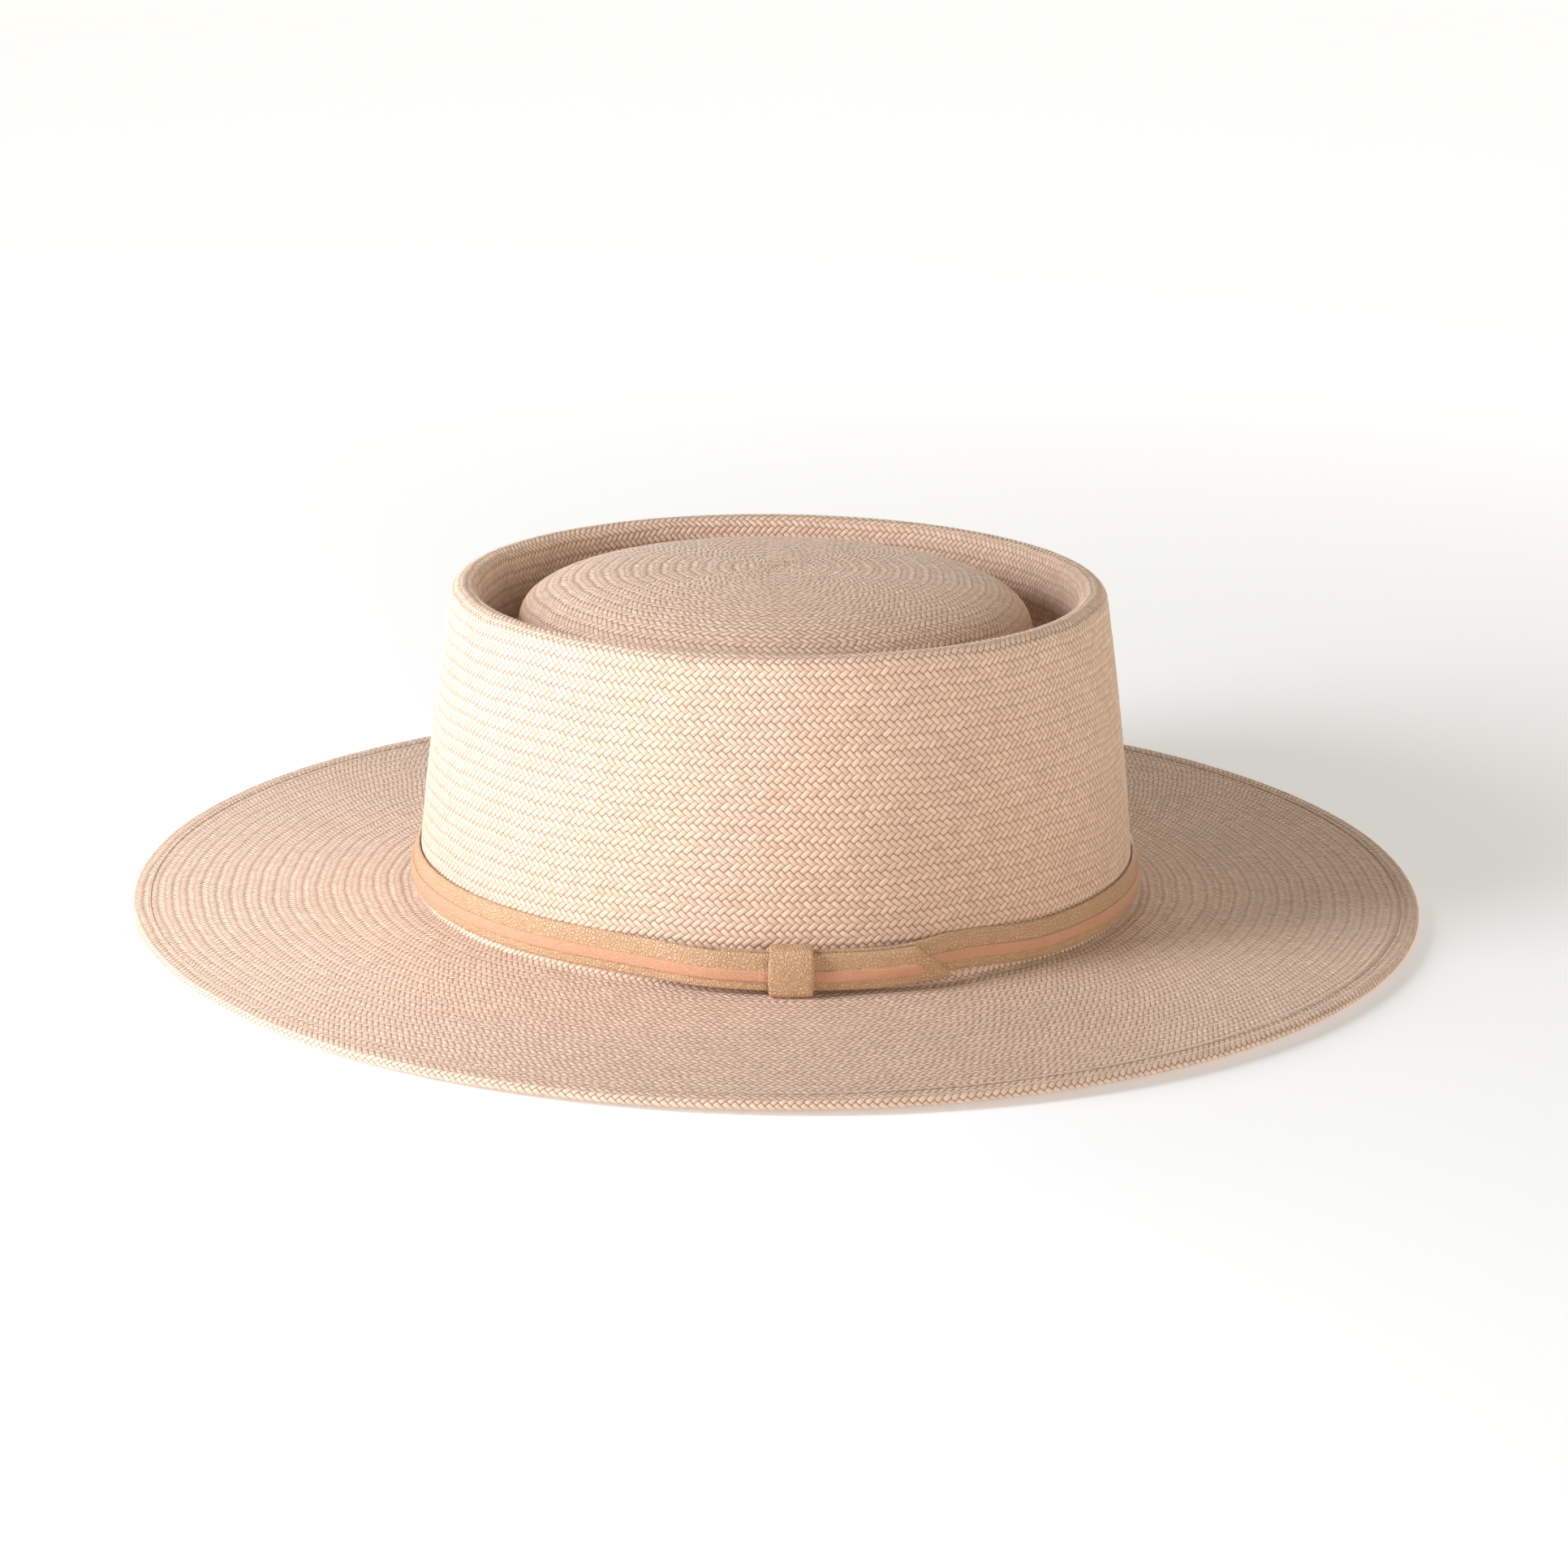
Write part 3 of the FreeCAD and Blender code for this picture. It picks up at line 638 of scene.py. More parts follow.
@dataclass
class StrawBody:
    """The woven crown and brim, in rings that meet edge to edge."""

    outline: Outline = field(default_factory=Outline)
    row: float = 2.0
    pitch: float = 1.9
    relief: float = 0.26
    fine: int = 4
    coarse: float = 2.0
    seed: int = 11
    hem_seam: float = 177.05
    seam_zone: tuple[float, float] = (170.0, 2.0)
    seam_pull: float = 0.1
    seam_spread: float = 0.4
    inside_share: float = 0.8
    joined_count: int = 288
    slope_span: float = 0.15
    typical_oval: tuple[float, float] = (95.0, 79.0)
    outside_rings: tuple[Ring, ...] = (
        Ring("straw_brim_hem", 0, 8, 1800, 1),
        Ring("straw_brim_outer", 8, 17, 1800, 2),
        Ring("straw_brim_middle", 17, 26, 1700, 2),
        Ring("straw_brim_inner", 26, 35, 1600, 2),
        Ring("straw_brim_break", 35, 45, 1360, 2),
        Ring("straw_wall_low", 45, 59, 1152, 1, 288),
        Ring("straw_wall_middle", 59, 73, 1152, 1, 288),
        Ring("straw_wall_high", 73, 87, 1152, 1, 288),
        Ring("straw_rim", 87, 100, 1152, 1, 288),
        Ring("straw_moat", 100, 108, 928, 1, 232),
        Ring("straw_dome_side", 108, 122, 832, 2),
        Ring("straw_dome_top", 122, 138, 560, 4),
        Ring("straw_dome_centre", 138, 0, 256, 5),
    )
    inside_rings: tuple[Ring, ...] = (
        Ring("straw_under_outer", 0, 18, 900, 3),
        Ring("straw_under_inner", 18, 38, 800, 3),
        Ring("straw_lining", 38, 0, 320, 10),
    )

    def __post_init__(self) -> None:
        """Draws the seeded phases of the plait's slow wander."""
        draw = np.random.default_rng(self.seed)
        self.waves = [
            (turns, rise, size, draw.uniform(0, math.tau), draw.uniform(0, math.tau))
            for turns, rise, size in ((5, 0.11, 0.16), (13, -0.23, 0.1), (29, 0.37, 0.07), (61, -0.71, 0.05))
        ]

    def build(self, finishes: Finishes) -> None:
        """Builds every ring of the straw."""
        for skin, points, rings, material in (
            (Skin.OUTSIDE, self.outline.outside(), self.outside_rings, finishes.straw),
            (Skin.INSIDE, self.outline.inside(), self.inside_rings, finishes.straw_inside),
        ):
            for ring in rings:
                stand_for(self.ring(skin, points, ring), material, "hat", "straw", "straw_body")

    def wander(self, share: Array, rows: Array) -> tuple[Array, Array]:
        """Returns how far the plait drifts from its even lattice, round and up."""
        aside, upward = np.zeros_like(share), np.zeros_like(share)
        for turns, rise, size, first, second in self.waves:
            aside += size * np.sin(math.tau * turns * share + rise * rows + first)
            upward += 0.8 * size * np.sin(math.tau * (turns + 2) * share - rise * rows + second)
        return aside, upward

    def weave_place(self, share: Array, rows: Array, counts: Array) -> tuple[Array, Array]:
        """Returns the weave's own coordinates at shares of a turn and rows, for these strand counts."""
        aside, upward = self.wander(share, rows)
        return share * counts + aside, rows + upward

    def relief_at(self, across: Array, up: Array) -> Array:
        """Returns the plait's height, 0 to 1, at places in the weave."""
        first, second = across + up, up - across
        cell_a, cell_b = np.floor(first), np.floor(second)
        phase = np.mod(cell_a + cell_b, 4)
        other_way = phase >= 2
        in_a, in_b = first - cell_a, second - cell_b
        late = np.mod(phase, 2)
        lengthwise = (np.where(other_way, in_b, in_a) + late) / 2
        sideways = np.where(other_way, in_a, in_b)
        ridge = np.maximum(0, 1 - np.abs(2 * sideways - 1) ** PLAIT.edge_power) ** PLAIT.edge_round
        arch = 1 - np.abs(2 * lengthwise - 1) ** PLAIT.arch_power
        gap_end = np.where(other_way, 1 - lengthwise, lengthwise)
        arch -= PLAIT.tuck_depth * np.maximum(0, 1 - gap_end / PLAIT.tuck_share)
        key = (cell_a - late * ~other_way) * 12.9898 + (cell_b - late * other_way) * 78.233
        plump = np.mod(np.sin(key) * 43758.5453, 1)
        return ridge * (PLAIT.lowest + (1 - PLAIT.lowest) * arch) * (0.86 + 0.28 * plump)

    def ring(self, skin: Skin, points: Array, ring: Ring) -> bpy.types.Object:
        """Builds one ring with its relief and its weave map.

        Args:
            skin: the side that the ring covers.
            points: the outline of that side.
            ring: the ring's name, rows and counts.

        Returns:
            The new piece.
        """
        outside = skin is Skin.OUTSIDE
        steps = np.hypot(*np.diff(points, axis=0).T)
        points = points[np.r_[True, steps > 1e-6]]
        run = np.r_[0, np.cumsum(np.hypot(*np.diff(points, axis=0).T))]
        whole = round(run[-1] / self.row)
        last = ring.last or whole
        rate = self.fine if outside else (self.coarse if ring.last else 1)
        rows = round((last - ring.first) * rate)
        stops = np.linspace(ring.first, last, rows + 1)
        length = stops * run[-1] / whole
        reach, level = (np.interp(length, run, points[:, axis]) for axis in (0, 1))
        width = self.outline.width_at(reach)
        ends = (np.minimum(length + self.slope_span, run[-1]), np.maximum(length - self.slope_span, 0))
        ahead, behind = (np.column_stack([np.interp(end, run, points[:, axis]) for axis in (0, 1)]) for end in ends)
        slopes = (ahead - behind).T
        width_slope = self.outline.width_at(ahead[:, 0]) - self.outline.width_at(behind[:, 0])
        edges = np.linspace(ring.first, last, ring.bands + 1)
        middles = np.interp((edges[:-1] + edges[1:]) / 2, stops, reach)
        counts = [ring.count or max(6, self.count_at(middle)) for middle in middles]
        bearing = self.even_bearings(ring.columns)
        side = 1.0 if outside else -1.0
        pole = ring.last == 0
        joined = outside and ring.count == self.joined_count
        relief = self.relief if outside else self.relief * self.inside_share

        def count_of(row: Array) -> Array:
            """Returns the strand count of the band that a row is in."""
            return np.array(counts)[np.clip(np.searchsorted(edges, row, side="right") - 1, 0, ring.bands - 1)]

        def place(share: Array, up: Array) -> Array:
            """Places the grid on the skin and lifts it by the plait's relief."""
            index = np.rint(up * rows).astype(int)
            turn = np.interp(share, np.linspace(0, 1, len(bearing)), bearing)
            cos, sin = np.cos(turn), np.sin(turn)
            base = np.column_stack([reach[index] * cos, width[index] * sin, level[index]])
            round_way = np.column_stack([-reach[index] * sin, width[index] * cos, np.zeros_like(cos)])
            up_way = np.column_stack([slopes[0][index] * cos, width_slope[index] * sin, slopes[1][index]])
            normal = np.cross(round_way, up_way)
            normal *= side / np.maximum(np.linalg.norm(normal, axis=1), 1e-12)[:, None]
            if pole:
                normal[reach[index] < 0.01] = (0, 0, side)
            row = stops[index]
            lift = self.relief_at(*self.weave_place(share, row, count_of(row - 1e-6)))
            border = np.clip(np.minimum(row - ring.first, last - row) * 4, 0, 1)
            kept = 1.0 if joined else np.select([border < 0.01, border < 1], [0.0, 0.5], 1.0)
            move = (lift - PLAIT.middle) * kept * relief
            if outside:
                at_seam = (reach[index] > self.seam_zone[0]) & (level[index] > self.seam_zone[1])
                groove = np.exp(-(((reach[index] - self.hem_seam) / self.seam_spread) ** 2))
                move -= self.seam_pull * groove * at_seam
            return self.outline.settle(base + normal * move[:, None], turn, reach[index])

        piece = lofted(ring.name, ring.columns, rows, Close.ROUND, place)
        self.map_weave(piece, ring.columns, stops, count_of)
        self.tidy_ring(piece, skin, pole)
        return piece

    def count_at(self, reach: float) -> int:
        """Returns how many pitches of the plait go round the oval at a reach."""
        width = float(self.outline.width_at(np.array([reach]))[0])
        total = reach + width
        girth = math.pi * (3 * total - math.sqrt((3 * reach + width) * (reach + 3 * width)))
        return round(girth / self.pitch)

    def even_bearings(self, columns: int) -> Array:
        """Returns bearings that divide a typical oval of the hat into equal lengths."""
        turn = np.linspace(0, math.tau, 4001)
        step = np.hypot(self.typical_oval[0] * np.sin(turn), self.typical_oval[1] * np.cos(turn))
        run = np.r_[0, np.cumsum((step[1:] + step[:-1]) / 2)]
        return np.interp(np.linspace(0, run[-1], columns + 1), run, turn) + math.pi / 2

    def map_weave(self, piece: bpy.types.Object, columns: int, stops: Array, count_of: Callable) -> None:
        """Writes each face corner's place in the weave to the piece's weave map."""
        mesh = piece.data
        loops = np.zeros(len(mesh.loops), np.int32)
        mesh.loops.foreach_get("vertex_index", loops)
        index = loops.reshape(-1, 4)
        column, line = index % columns, index // columns
        wrap = (column.max(axis=1) - column.min(axis=1)) > columns / 2
        share = np.where(wrap[:, None] & (column == 0), columns, column) / columns
        row = stops[line]
        counts = count_of(row.mean(axis=1))[:, None] * np.ones_like(share)
        across, up = self.weave_place(share.ravel(), row.ravel(), counts.ravel())
        layer = mesh.uv_layers.new(name="weave")
        layer.data.foreach_set("uv", np.column_stack([across, up]).astype(np.float32).ravel())

    def tidy_ring(self, piece: bpy.types.Object, skin: Skin, pole: bool) -> None:
        """Closes the pole if the ring has one, and turns the faces to its side."""
        shape = bmesh.new()
        shape.from_mesh(piece.data)
        if pole:
            centre = self.outline.dome_shift
            near = [v for v in shape.verts if math.hypot(v.co.x / MM - centre, v.co.y / MM) < 0.05]
            bmesh.ops.pointmerge(shape, verts=near, merge_co=near[0].co)
        if skin is Skin.INSIDE:
            bmesh.ops.reverse_faces(shape, faces=shape.faces[:])
        shape.to_mesh(piece.data)
        shape.free()
        piece.data.update()


# --- thread, sweatband and bow ---


@dataclass
class Stitching:
    """A row of running stitches round an oval: the thread rises over the cloth and dips into it."""

    name: str
    node: str
    length: float
    width: float
    level: float
    stitch: float = 4.2
    radius: float = 0.14
    lift: float = 0.2
    outward: bool = False
    outline: Outline = field(default_factory=Outline)

    def build(self, finishes: Finishes) -> None:
        """Builds the thread as one closed ring."""
        girth = math.pi * (self.length + self.width)
        stitches = round(girth / self.stitch)
        piece = lofted(self.name, stitches * 7, 6, Close.BOTH, lambda s, v: self.place(s, v, stitches))
        close_shell(piece, 0.0005)
        stand_for(piece, finishes.thread, "hat", "thread", self.node)

    def place(self, share: Array, section: Array, stitches: int) -> Array:
        """Places the thread's surface along its oval."""
        turn, roll = share * math.tau, section * math.tau
        phase = np.mod(share * stitches, 1)
        over = np.clip(np.sin(math.pi * np.clip(phase / 0.78, 0, 1)) * 2.2, 0, 1)
        dip = self.lift * (over - 1)
        aside, upward = self.radius * np.cos(roll), self.radius * np.sin(roll)
        if self.outward:
            aside = aside - dip
        else:
            upward = upward + dip
        reach, width = self.length + aside, self.width + aside
        points = np.column_stack([reach * np.cos(turn), width * np.sin(turn), self.level + upward])
        return self.outline.settle(points, turn, reach)


@dataclass
class Sweatband:
    """The leather band that lines the head opening, with its bow over the seam at +X."""

    foot: float = 3.4
    top: float = 38.0
    foot_length: float = 99.6
    top_length: float = 96.2
    step: float = 16.0
    thick: float = 1.0
    grooves: tuple[tuple[float, float, float], ...] = ((35.6, 0.16, 0.5), (6.65, 0.22, 0.8))
    waves: tuple[tuple[int, float, float], ...] = ((3, 0.32, 0.7), (8, 0.2, 2.1))
    bow_level: float = 9.0
    bow_tall: float = 6.0
    bow_reach: float = 96.45
    bow_half: float = 11.0
    loop_depth: float = 1.1875
    loop_pinch: float = 0.62
    knot_width: float = 3.6
    knot_half: float = 1.15
    knot_corner: float = 0.6

    def build(self, finishes: Finishes) -> None:
        """Builds the band, its stitches and its bow, and dresses the CAD's reed and tapes."""
        section = rounded_section(self.thick, self.top - self.foot, 0.42, 24)
        band = swept("sweatband_leather", 480, section, self.place)
        close_shell(band, 0.001)
        stand_for(band, finishes.sweat, "hat", "sweat_leather", "sweatband")
        level = self.grooves[1][0]
        reach = self.reach_at(np.array([level]))[0] - self.thick - 0.08
        Stitching(
            "sweatband_stitches", "sweatband_thread", reach, reach - self.step, level, 2.6, 0.17, 0.26, True
        ).build(finishes)
        dress("sweatband_reed", finishes.reed)
        for node in ("reed_tape", "sweatband_seam_tape"):
            dress(node, finishes.tape)
        self.bow(finishes.ribbon)

    def reach_at(self, level: Array) -> Array:
        """Returns the band's outer half length at levels."""
        share = (level - self.foot) / (self.top - self.foot)
        return self.foot_length + (self.top_length - self.foot_length) * share

    def place(self, share: Array, at: Array) -> Array:
        """Places the band's surface: a thin leaning ring whose free top edge waves a little."""
        turn = share * math.tau
        level = self.foot + at[:, 1]
        free = np.clip(at[:, 1] / (self.top - self.foot), 0, 1) ** 2
        wave = free * sum(size * np.sin(turns * turn + start) for turns, size, start in self.waves)
        front = at[:, 0] > self.thick * 0.6
        groove = sum(depth * np.exp(-(((level - middle) / wide) ** 2)) for middle, depth, wide in self.grooves)
        inward = at[:, 0] - front * groove
        reach = self.reach_at(level) - inward + wave
        return np.column_stack([reach * np.cos(turn), (reach - self.step) * np.sin(turn), level])

    def bow(self, ribbon: bpy.types.Material) -> None:
        """Builds the ribbon bow: two loops that taper into a knot."""
        section = rounded_section(0.3, self.bow_tall, 0.1, 8)
        pieces = [
            swept(name, 72, section, lambda share, at: self.loop_place(share, at, side))
            for name, side in (("bow_loop_left", 1.0), ("bow_loop_right", -1.0))
        ]
        pieces.append(swept("bow_knot", 64, rounded_section(0.4, self.knot_width, 0.15, 8), self.knot_place))
        for piece in pieces:
            close_shell(piece, 0.001)
            stand_for(piece, ribbon, "hat", "ribbon", "sweatband_bow")

    def loop_place(self, share: Array, at: Array, side: float) -> Array:
        """Places one ribbon loop, flat at the knot and open at its far end."""
        turn = share * math.tau
        reach = 0.5 - 0.5 * np.cos(turn)
        depth = self.loop_depth * np.sin(turn) * reach**0.5
        outward = np.column_stack([np.sin(turn) * 0.5, -np.cos(turn)])
        outward /= np.maximum(np.linalg.norm(outward, axis=1), 1e-9)[:, None]
        narrow = self.loop_pinch + (1 - self.loop_pinch) * np.clip(reach * 1.8, 0, 1)
        y = 1.0 + (self.bow_half - 1.3) * reach + outward[:, 1] * at[:, 0]
        x = self.bow_reach + depth + np.sin(turn) * at[:, 0] * 0.6
        middle = self.bow_level + self.bow_tall / 2
        z = middle + (at[:, 1] - self.bow_tall / 2) * narrow + 0.25 * np.sin(turn * 2)
        return np.column_stack([x, side * y, z])

    def knot_place(self, share: Array, at: Array) -> Array:
        """Places the short wrap round the bow's middle."""
        cos, sin = np.cos(share * math.tau), np.sin(share * math.tau)
        swell = 1 - 0.12 * (2 * at[:, 1] / self.knot_width - 1) ** 2
        across = (self.knot_half * swell + at[:, 0]) * np.sign(cos) * np.abs(cos) ** self.knot_corner
        upward = (self.bow_tall / 2 - 0.35 + at[:, 0]) * np.sign(sin) * np.abs(sin) ** self.knot_corner
        middle = self.bow_level + self.bow_tall / 2
        return np.column_stack([self.bow_reach - 0.2 + across, at[:, 1] - self.knot_width / 2, middle + upward])


def dress(node: str, material: bpy.types.Material) -> None:
    """Gives a CAD node that stays on show a new material."""
    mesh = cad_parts[node].data
    mesh.materials.clear()
    mesh.materials.append(material)
    log.info("%s keeps its CAD shape in %s", node, material.name)


# --- the leather band ---


@dataclass(frozen=True)
class Strip:
    """One strip of the band: its size, and where it stands."""

    name: str
    node: str
    slot: str
    reach: float
    thick: float
    foot: float
    tall: float
    tip: float
    edge_round: float
    dome: float


@dataclass
class LeatherBand:
    """The tan strap with its rose stripe, lapped over its own start, and the loop that keeps its tail."""

    step: float = 16.0
    foot: float = 5.2
    lap_start: float = -14.0
    lap_ramp: float = 22.0
    lap_height: float = 2.1
    stand: float = 1.5
    stand_start: float = 263.0
    stand_end: float = 289.5
    stand_ramp: float = 14.0
    lean: float = 0.105
    tuck: float = 0.25
    droop: float = 0.75
    tip_rise: float = 1.05
    flare: float = 0.5
    end_round: float = 0.45
    end_length: float = 60.0
    sway: tuple[tuple[float, float], ...] = (
        (-72, 0.0), (-28, 0.1), (2, -0.5), (16, -0.5), (27, 0.9), (47, -1.1), (80, -0.8), (150, 0.0)
    )
    strap: Strip = Strip("band_strap_leather", "band_strap", "tan_leather", 102.3, 1.2, 5.2, 10.6, 47.6, 0.58, 0.3)
    stripe: Strip = Strip("band_stripe_leather", "band_stripe", "pink_leather", 103.5, 0.8, 8.0, 3.2, 43.4, 0.34, 0.12)
    keeper_place: float = 4.4
    keeper_across: float = 11.2
    keeper_drop: float = 0.5
    keeper_thick: float = 1.1
    keeper_gap: float = 0.35

    def build(self, finishes: Finishes) -> None:
        """Builds the strap, the stripe and the keeper."""
        self.strip(self.strap, finishes.tan)
        self.strip(self.stripe, finishes.pink)
        self.keeper(finishes.tan)

    def start_bearing(self) -> float:
        """Returns the bearing of the strap's covered end, in degrees."""
        return 360 - math.degrees(math.acos(self.lap_start / self.strap.reach))

    def eased(self, share: Array) -> Array:
        """Returns a smooth rise from 0 to 1, level before and after."""
        share = np.clip(share, 0, 1)
        return share * share * (3 - 2 * share)

    def standing(self, degrees: Array) -> Array:
        """Returns how far, 0 to 1, the strap stands out to make room for the keeper at bearings."""
        bearing = np.mod(degrees, 360)
        out = self.eased((bearing - self.stand_start) / self.stand_ramp + 1)
        return out - self.eased((bearing - self.stand_end) / self.stand_ramp)

    def climb(self, degrees: Array) -> Array:
        """Returns how far the strap stands out from its own ring: at the keeper, and over its start."""
        over = self.eased((degrees - 360 - self.start_bearing() + self.lap_ramp) / self.lap_ramp)
        return over * self.lap_height + self.standing(degrees) * self.stand

    def swaying(self, degrees: Array) -> Array:
        """Returns how far, in millimetres, the strap rides above its straight line at bearings."""
        aside = np.mod(degrees - 180, 360) - 90
        rise = np.full_like(aside, self.sway[0][1])
        for (before, low), (after, high) in zip(self.sway, self.sway[1:]):
            rise += (high - low) * self.eased((aside - before) / (after - before))
        return rise

    def strip(self, strip: Strip, material: bpy.types.Material) -> None:
        """Builds one strip, from its covered end once round to its slanted tail."""
        section = rounded_section(strip.thick, strip.tall, strip.edge_round, 10, strip.dome)
        length = 2 * math.pi * (strip.reach - self.step / 2) + self.end_length
        ends = np.array([0, 0.04, 0.12, 0.25, 0.45, 0.8])
        middle = np.linspace(1.4, length - 1.4, 720)
        stops = np.r_[ends, middle, length - ends[::-1]]
        piece = swept(
            strip.name, len(stops) - 1, section,
            lambda share, at: self.strip_place(strip, along(stops, share), length, at), Close.SECTION,
        )
        close_shell(piece, 0.004)
        stand_for(piece, material, "band", strip.slot, strip.node)

    def strip_place(self, strip: Strip, run: Array, length: float, at: Array) -> Array:
        """Places a strip's surface.

        Args:
            strip: the strip.
            run: each point's distance along the strip.
            length: the strip's whole length.
            at: each point's (outward, upward) place in the section.

        Returns:
            The points in millimetres.
        """
        level = strip.foot + at[:, 1]
        outer = strip.reach + self.lap_height
        cut = strip.tip - (level - self.foot)
        end = 720 - np.degrees(np.arccos(cut / outer))
        start = self.start_bearing()
        bearing = start + (end - start) * run / length
        near = np.clip(np.minimum(run, length - run) / self.end_round, 0, 1)
        slim = np.sqrt(1 - (1 - near) ** 2)
        outward = strip.thick / 2 + (at[:, 0] - strip.thick / 2) * slim
        turn = np.radians(bearing)
        past = bearing - 360 - start
        tail = np.clip((past - 12) / 22, 0, 1)
        hug = self.tuck + self.lean * (level - self.foot)
        reach = strip.reach + outward + self.climb(bearing) - hug * (1 - self.standing(bearing)) + self.flare * tail**2
        level = level - self.droop * self.eased(past / 9) + self.tip_rise * self.eased((past - 22) / 12)
        level = level + self.swaying(bearing) * (1 - self.eased(past / 8))
        return np.column_stack([reach * np.cos(turn), (reach - self.step) * np.sin(turn), level])

    def keeper(self, material: bpy.types.Material) -> None:
        """Builds the keeper: a strip of leather bent round the strap into a closed loop."""
        section = rounded_section(self.keeper_thick, self.keeper_across, 0.5, 14, 0.12)
        path, normal = self.keeper_path()
        piece = swept(
            "band_keeper_leather", len(path) - 1, section,
            lambda share, at: self.keeper_place_at(along(path, share), along(normal, share), at),
        )
        close_shell(piece, 0.001)
        stand_for(piece, material, "keeper", "tan_leather", "band_keeper")

    def keeper_path(self) -> tuple[Array, Array]:
        """Returns the keeper loop's inner line as (outward, upward) rows, and its outward normals."""
        deep = 2 * (self.strap.thick + self.stripe.thick) + 0.1 + 2 * self.keeper_gap
        tall = self.strap.tall + 2 * self.keeper_gap
        corner = 0.7
        path, normal = [], []
        for x, y, start in ((deep, tall, 0), (0, tall, 90), (0, 0, 180), (deep, 0, 270)):
            centre = (x - math.copysign(corner, x - 0.1), y - math.copysign(corner, y - 0.1))
            for turn in np.radians(np.linspace(start, start + 90, 9)):
                out = (math.cos(turn), math.sin(turn))
                path.append((centre[0] + corner * out[0], centre[1] + corner * out[1]))
                normal.append(out)
        path.append(path[0])
        normal.append(normal[0])
        path, normal = np.array(path), np.array(normal)
        run = np.r_[0, np.cumsum(np.hypot(*np.diff(path, axis=0).T))]
        even = np.unique(np.r_[run, np.arange(0, run[-1], 0.5)])
        smooth = [np.column_stack([np.interp(even, run, line[:, axis]) for axis in (0, 1)]) for line in (path, normal)]
        smooth[0][:, 0] += 0.3 * (smooth[0][:, 0] > deep - 0.05) * (1 - (2 * smooth[0][:, 1] / tall - 1) ** 2)
        return smooth[0], smooth[1]

    def keeper_place_at(self, path: Array, normal: Array, at: Array) -> Array:
        """Places the keeper's surface, bent to the strap's own curve."""
        ring = self.strap.reach + self.stand
        bend = ring**2 / (ring - self.step)
        axis_back = bend - (ring - self.step)
        outward = path + normal * at[:, :1]
        radius = bend - self.keeper_gap + outward[:, 0]
        barrel = 1 + 0.05 * normal[:, 0] * (1 - (2 * outward[:, 1] / (self.strap.tall + 0.7) - 1) ** 2)
        turn = math.asin(self.keeper_place / bend) + (at[:, 1] - self.keeper_across / 2) * barrel / bend
        level = self.foot - self.keeper_gap - self.keeper_drop + outward[:, 1]
        return np.column_stack([radius * np.sin(turn), axis_back - radius * np.cos(turn), level])


# --- the studio ---


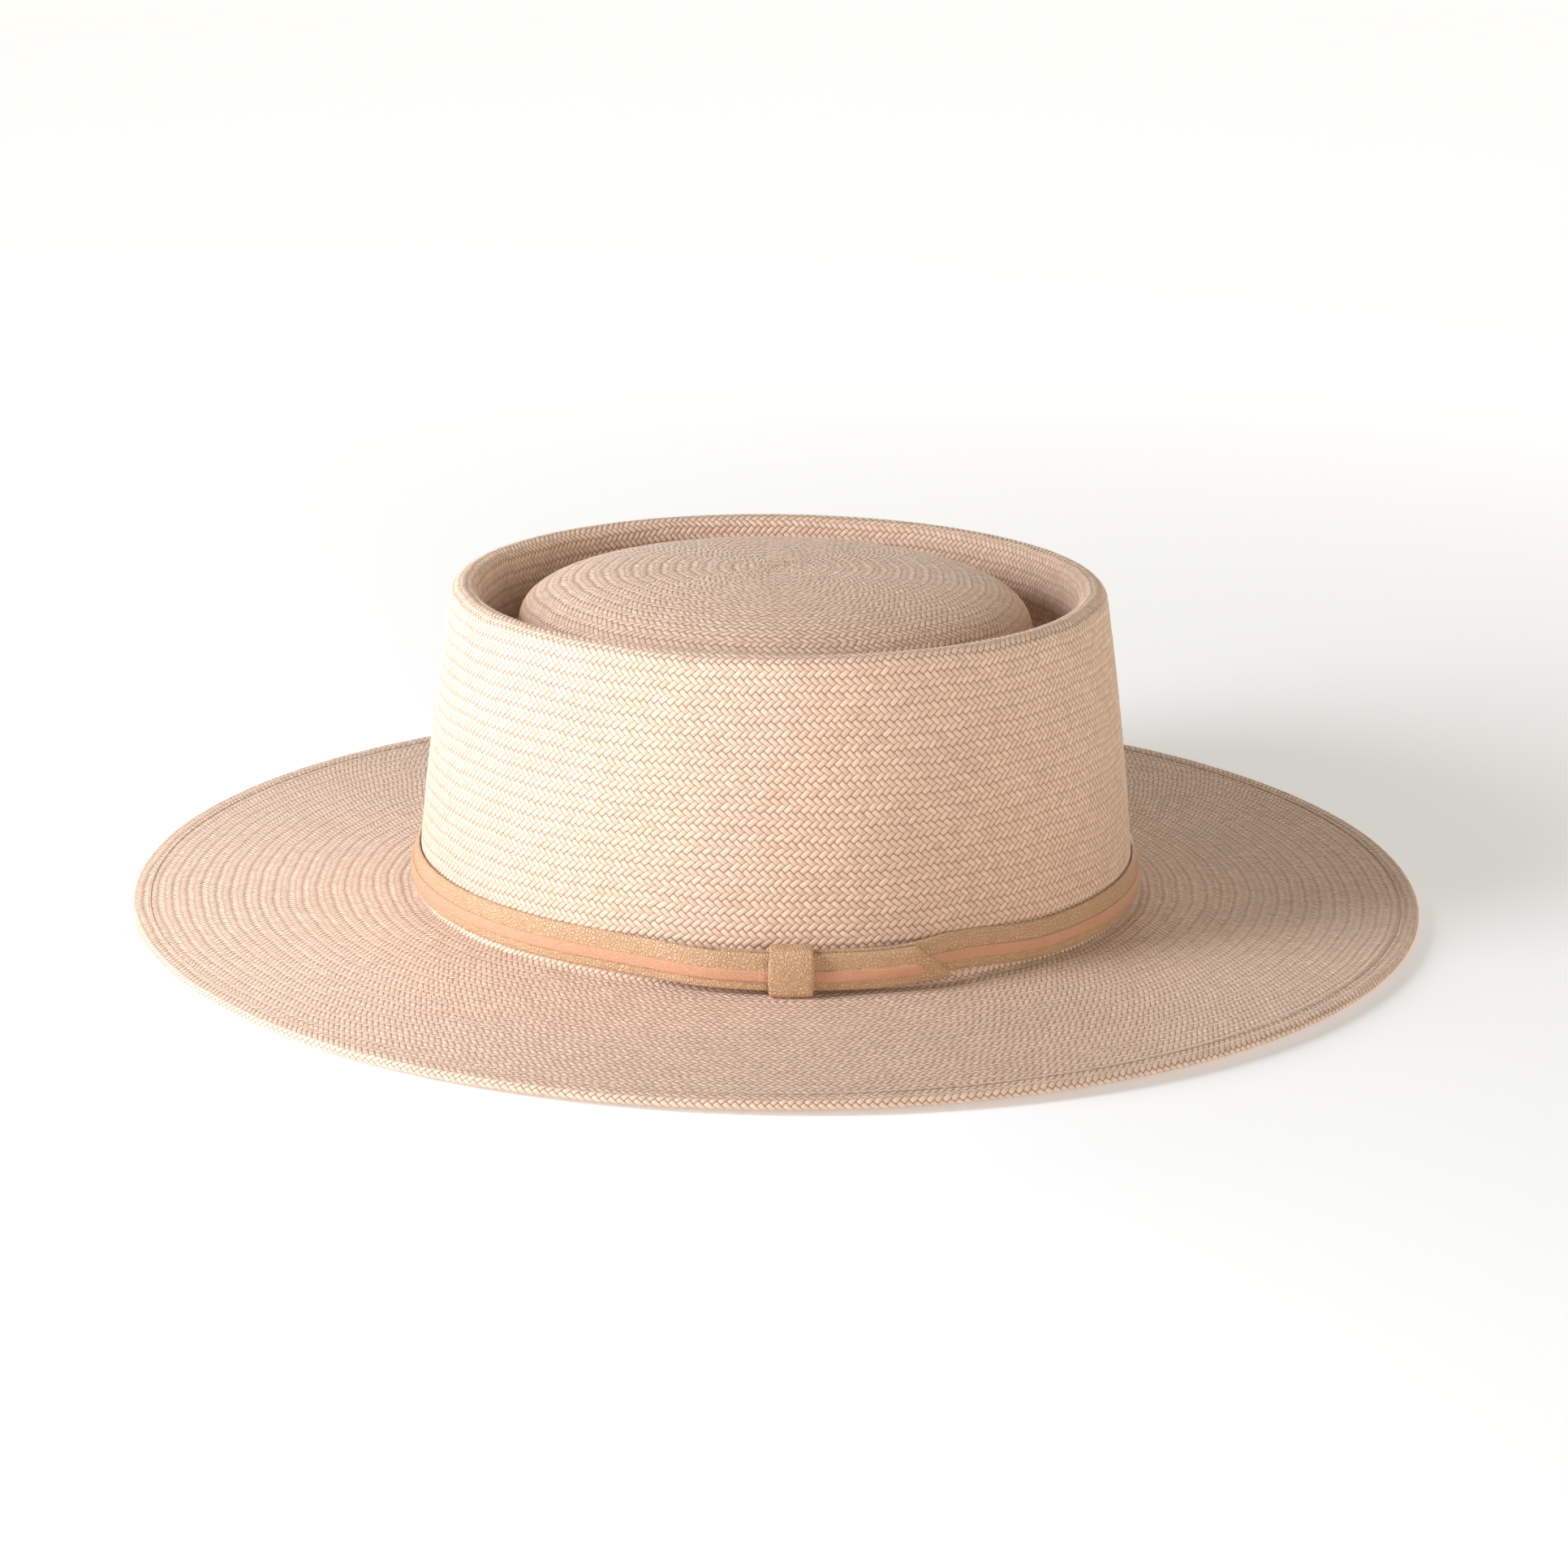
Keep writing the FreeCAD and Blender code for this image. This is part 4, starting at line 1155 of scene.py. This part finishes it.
@dataclass
class Studio:
    """The floor, the light and the camera."""

    floor_half: float = 6000.0
    floor_level: float = -0.25
    camera_place: tuple[float, float, float] = (2.05, -1137.5, 414.2)
    camera_dip: float = 0.32414
    camera_roll: float = 0.0124
    lens: float = 97.21
    key_away: float = 700.0
    key_bearing: float = 205.0
    key_size: float = 260.0
    keys: tuple[tuple[str, float, float], ...] = (("low", 12.0, 2.95), ("high", 32.0, 3.4))
    key_colour: tuple[float, float, float] = (0.96, 1.0, 1.08)
    surround: float = 0.17
    surround_colour: tuple[float, float, float] = (1.04, 1.0, 0.9)
    glows: tuple[tuple[float, float, float], ...] = ((90.0, 5.0, 4.2), (300.0, 5.0, 4.0), (0.0, 5.0, 1.2))

    def build(self, finishes: Finishes) -> None:
        """Sets up the floor, the light and the camera."""
        self.lay_floor(finishes.floor)
        self.set_light()
        self.set_camera()

    def lay_floor(self, material: bpy.types.Material) -> None:
        """Lays the pale floor, just under the hat."""
        shape = bmesh.new()
        bmesh.ops.create_grid(shape, x_segments=4, y_segments=4, size=self.floor_half * MM)
        bmesh.ops.translate(shape, verts=shape.verts[:], vec=(0, 0, self.floor_level * MM))
        mesh = bpy.data.meshes.new("floor")
        shape.to_mesh(mesh)
        shape.free()
        mesh.materials.append(material)
        floor = bpy.data.objects.new("floor", mesh)
        bpy.context.scene.collection.objects.link(floor)

    def set_light(self) -> None:
        """Adds two soft keys on the left, and a surround with a few soft glows near the horizon."""
        for name, rise, power in self.keys:
            light = bpy.data.lights.new(f"key_{name}", "AREA")
            light.shape, light.size = "DISK", self.key_size * MM
            light.energy, light.color = power, self.key_colour
            lamp = bpy.data.objects.new(light.name, light)
            away = self.towards(self.key_bearing, rise)
            lamp.location = away * self.key_away * MM
            lamp.rotation_euler = away.to_track_quat("Z", "Y").to_euler()
            bpy.context.scene.collection.objects.link(lamp)
        world = bpy.data.worlds.new("surround")
        world.use_nodes = True
        w = Wiring(world.node_tree)
        direction = w.node("ShaderNodeTexCoord").outputs["Generated"]
        strength = self.surround
        for bearing, rise, power in self.glows:
            sides = {0: direction, 1: self.towards(bearing, rise)}
            facing = w.node("ShaderNodeVectorMath", sides, operation="DOT_PRODUCT").outputs["Value"]
            glow = w.math("POWER", w.math("MAXIMUM", facing, 0.0), 12.0)
            strength = w.math("ADD", w.math("MULTIPLY", glow, power), strength)
        backdrop = world.node_tree.nodes["Background"]
        w.tree.links.new(strength, backdrop.inputs["Strength"])
        backdrop.inputs["Color"].default_value = (*self.surround_colour, 1)
        bpy.context.scene.world = world
        bpy.context.scene.view_settings.view_transform = "Standard"

    @staticmethod
    def towards(bearing: float, rise: float) -> Vector:
        """Returns the direction at a bearing and a rise, both in degrees."""
        turn, lift = math.radians(bearing), math.radians(rise)
        return Vector((math.cos(lift) * math.cos(turn), math.cos(lift) * math.sin(turn), math.sin(lift)))

    def set_camera(self) -> None:
        """Sets up the camera, a little above the brim and rolled by a hair."""
        data = bpy.data.cameras.new("camera")
        data.lens = self.lens
        data.clip_end = 50.0
        camera = bpy.data.objects.new("camera", data)
        turn = Euler((math.pi / 2 - self.camera_dip, 0, 0)).to_matrix() @ Matrix.Rotation(self.camera_roll, 3, "Z")
        camera.rotation_euler = turn.to_euler()
        camera.location = [part * MM for part in self.camera_place]
        bpy.context.scene.collection.objects.link(camera)
        bpy.context.scene.camera = camera


def main() -> None:
    """Builds the hat around the frame, in order."""
    logging.basicConfig(level=logging.INFO, format="%(name)s: %(message)s")
    Studio().build(finishes := Finishes())
    StrawBody().build(finishes)
    Stitching("hem_stitches", "hem_thread", 177.05, 159.35, 2.74).build(finishes)
    Sweatband().build(finishes)
    LeatherBand().build(finishes)


if __name__ == "__main__":
    main()
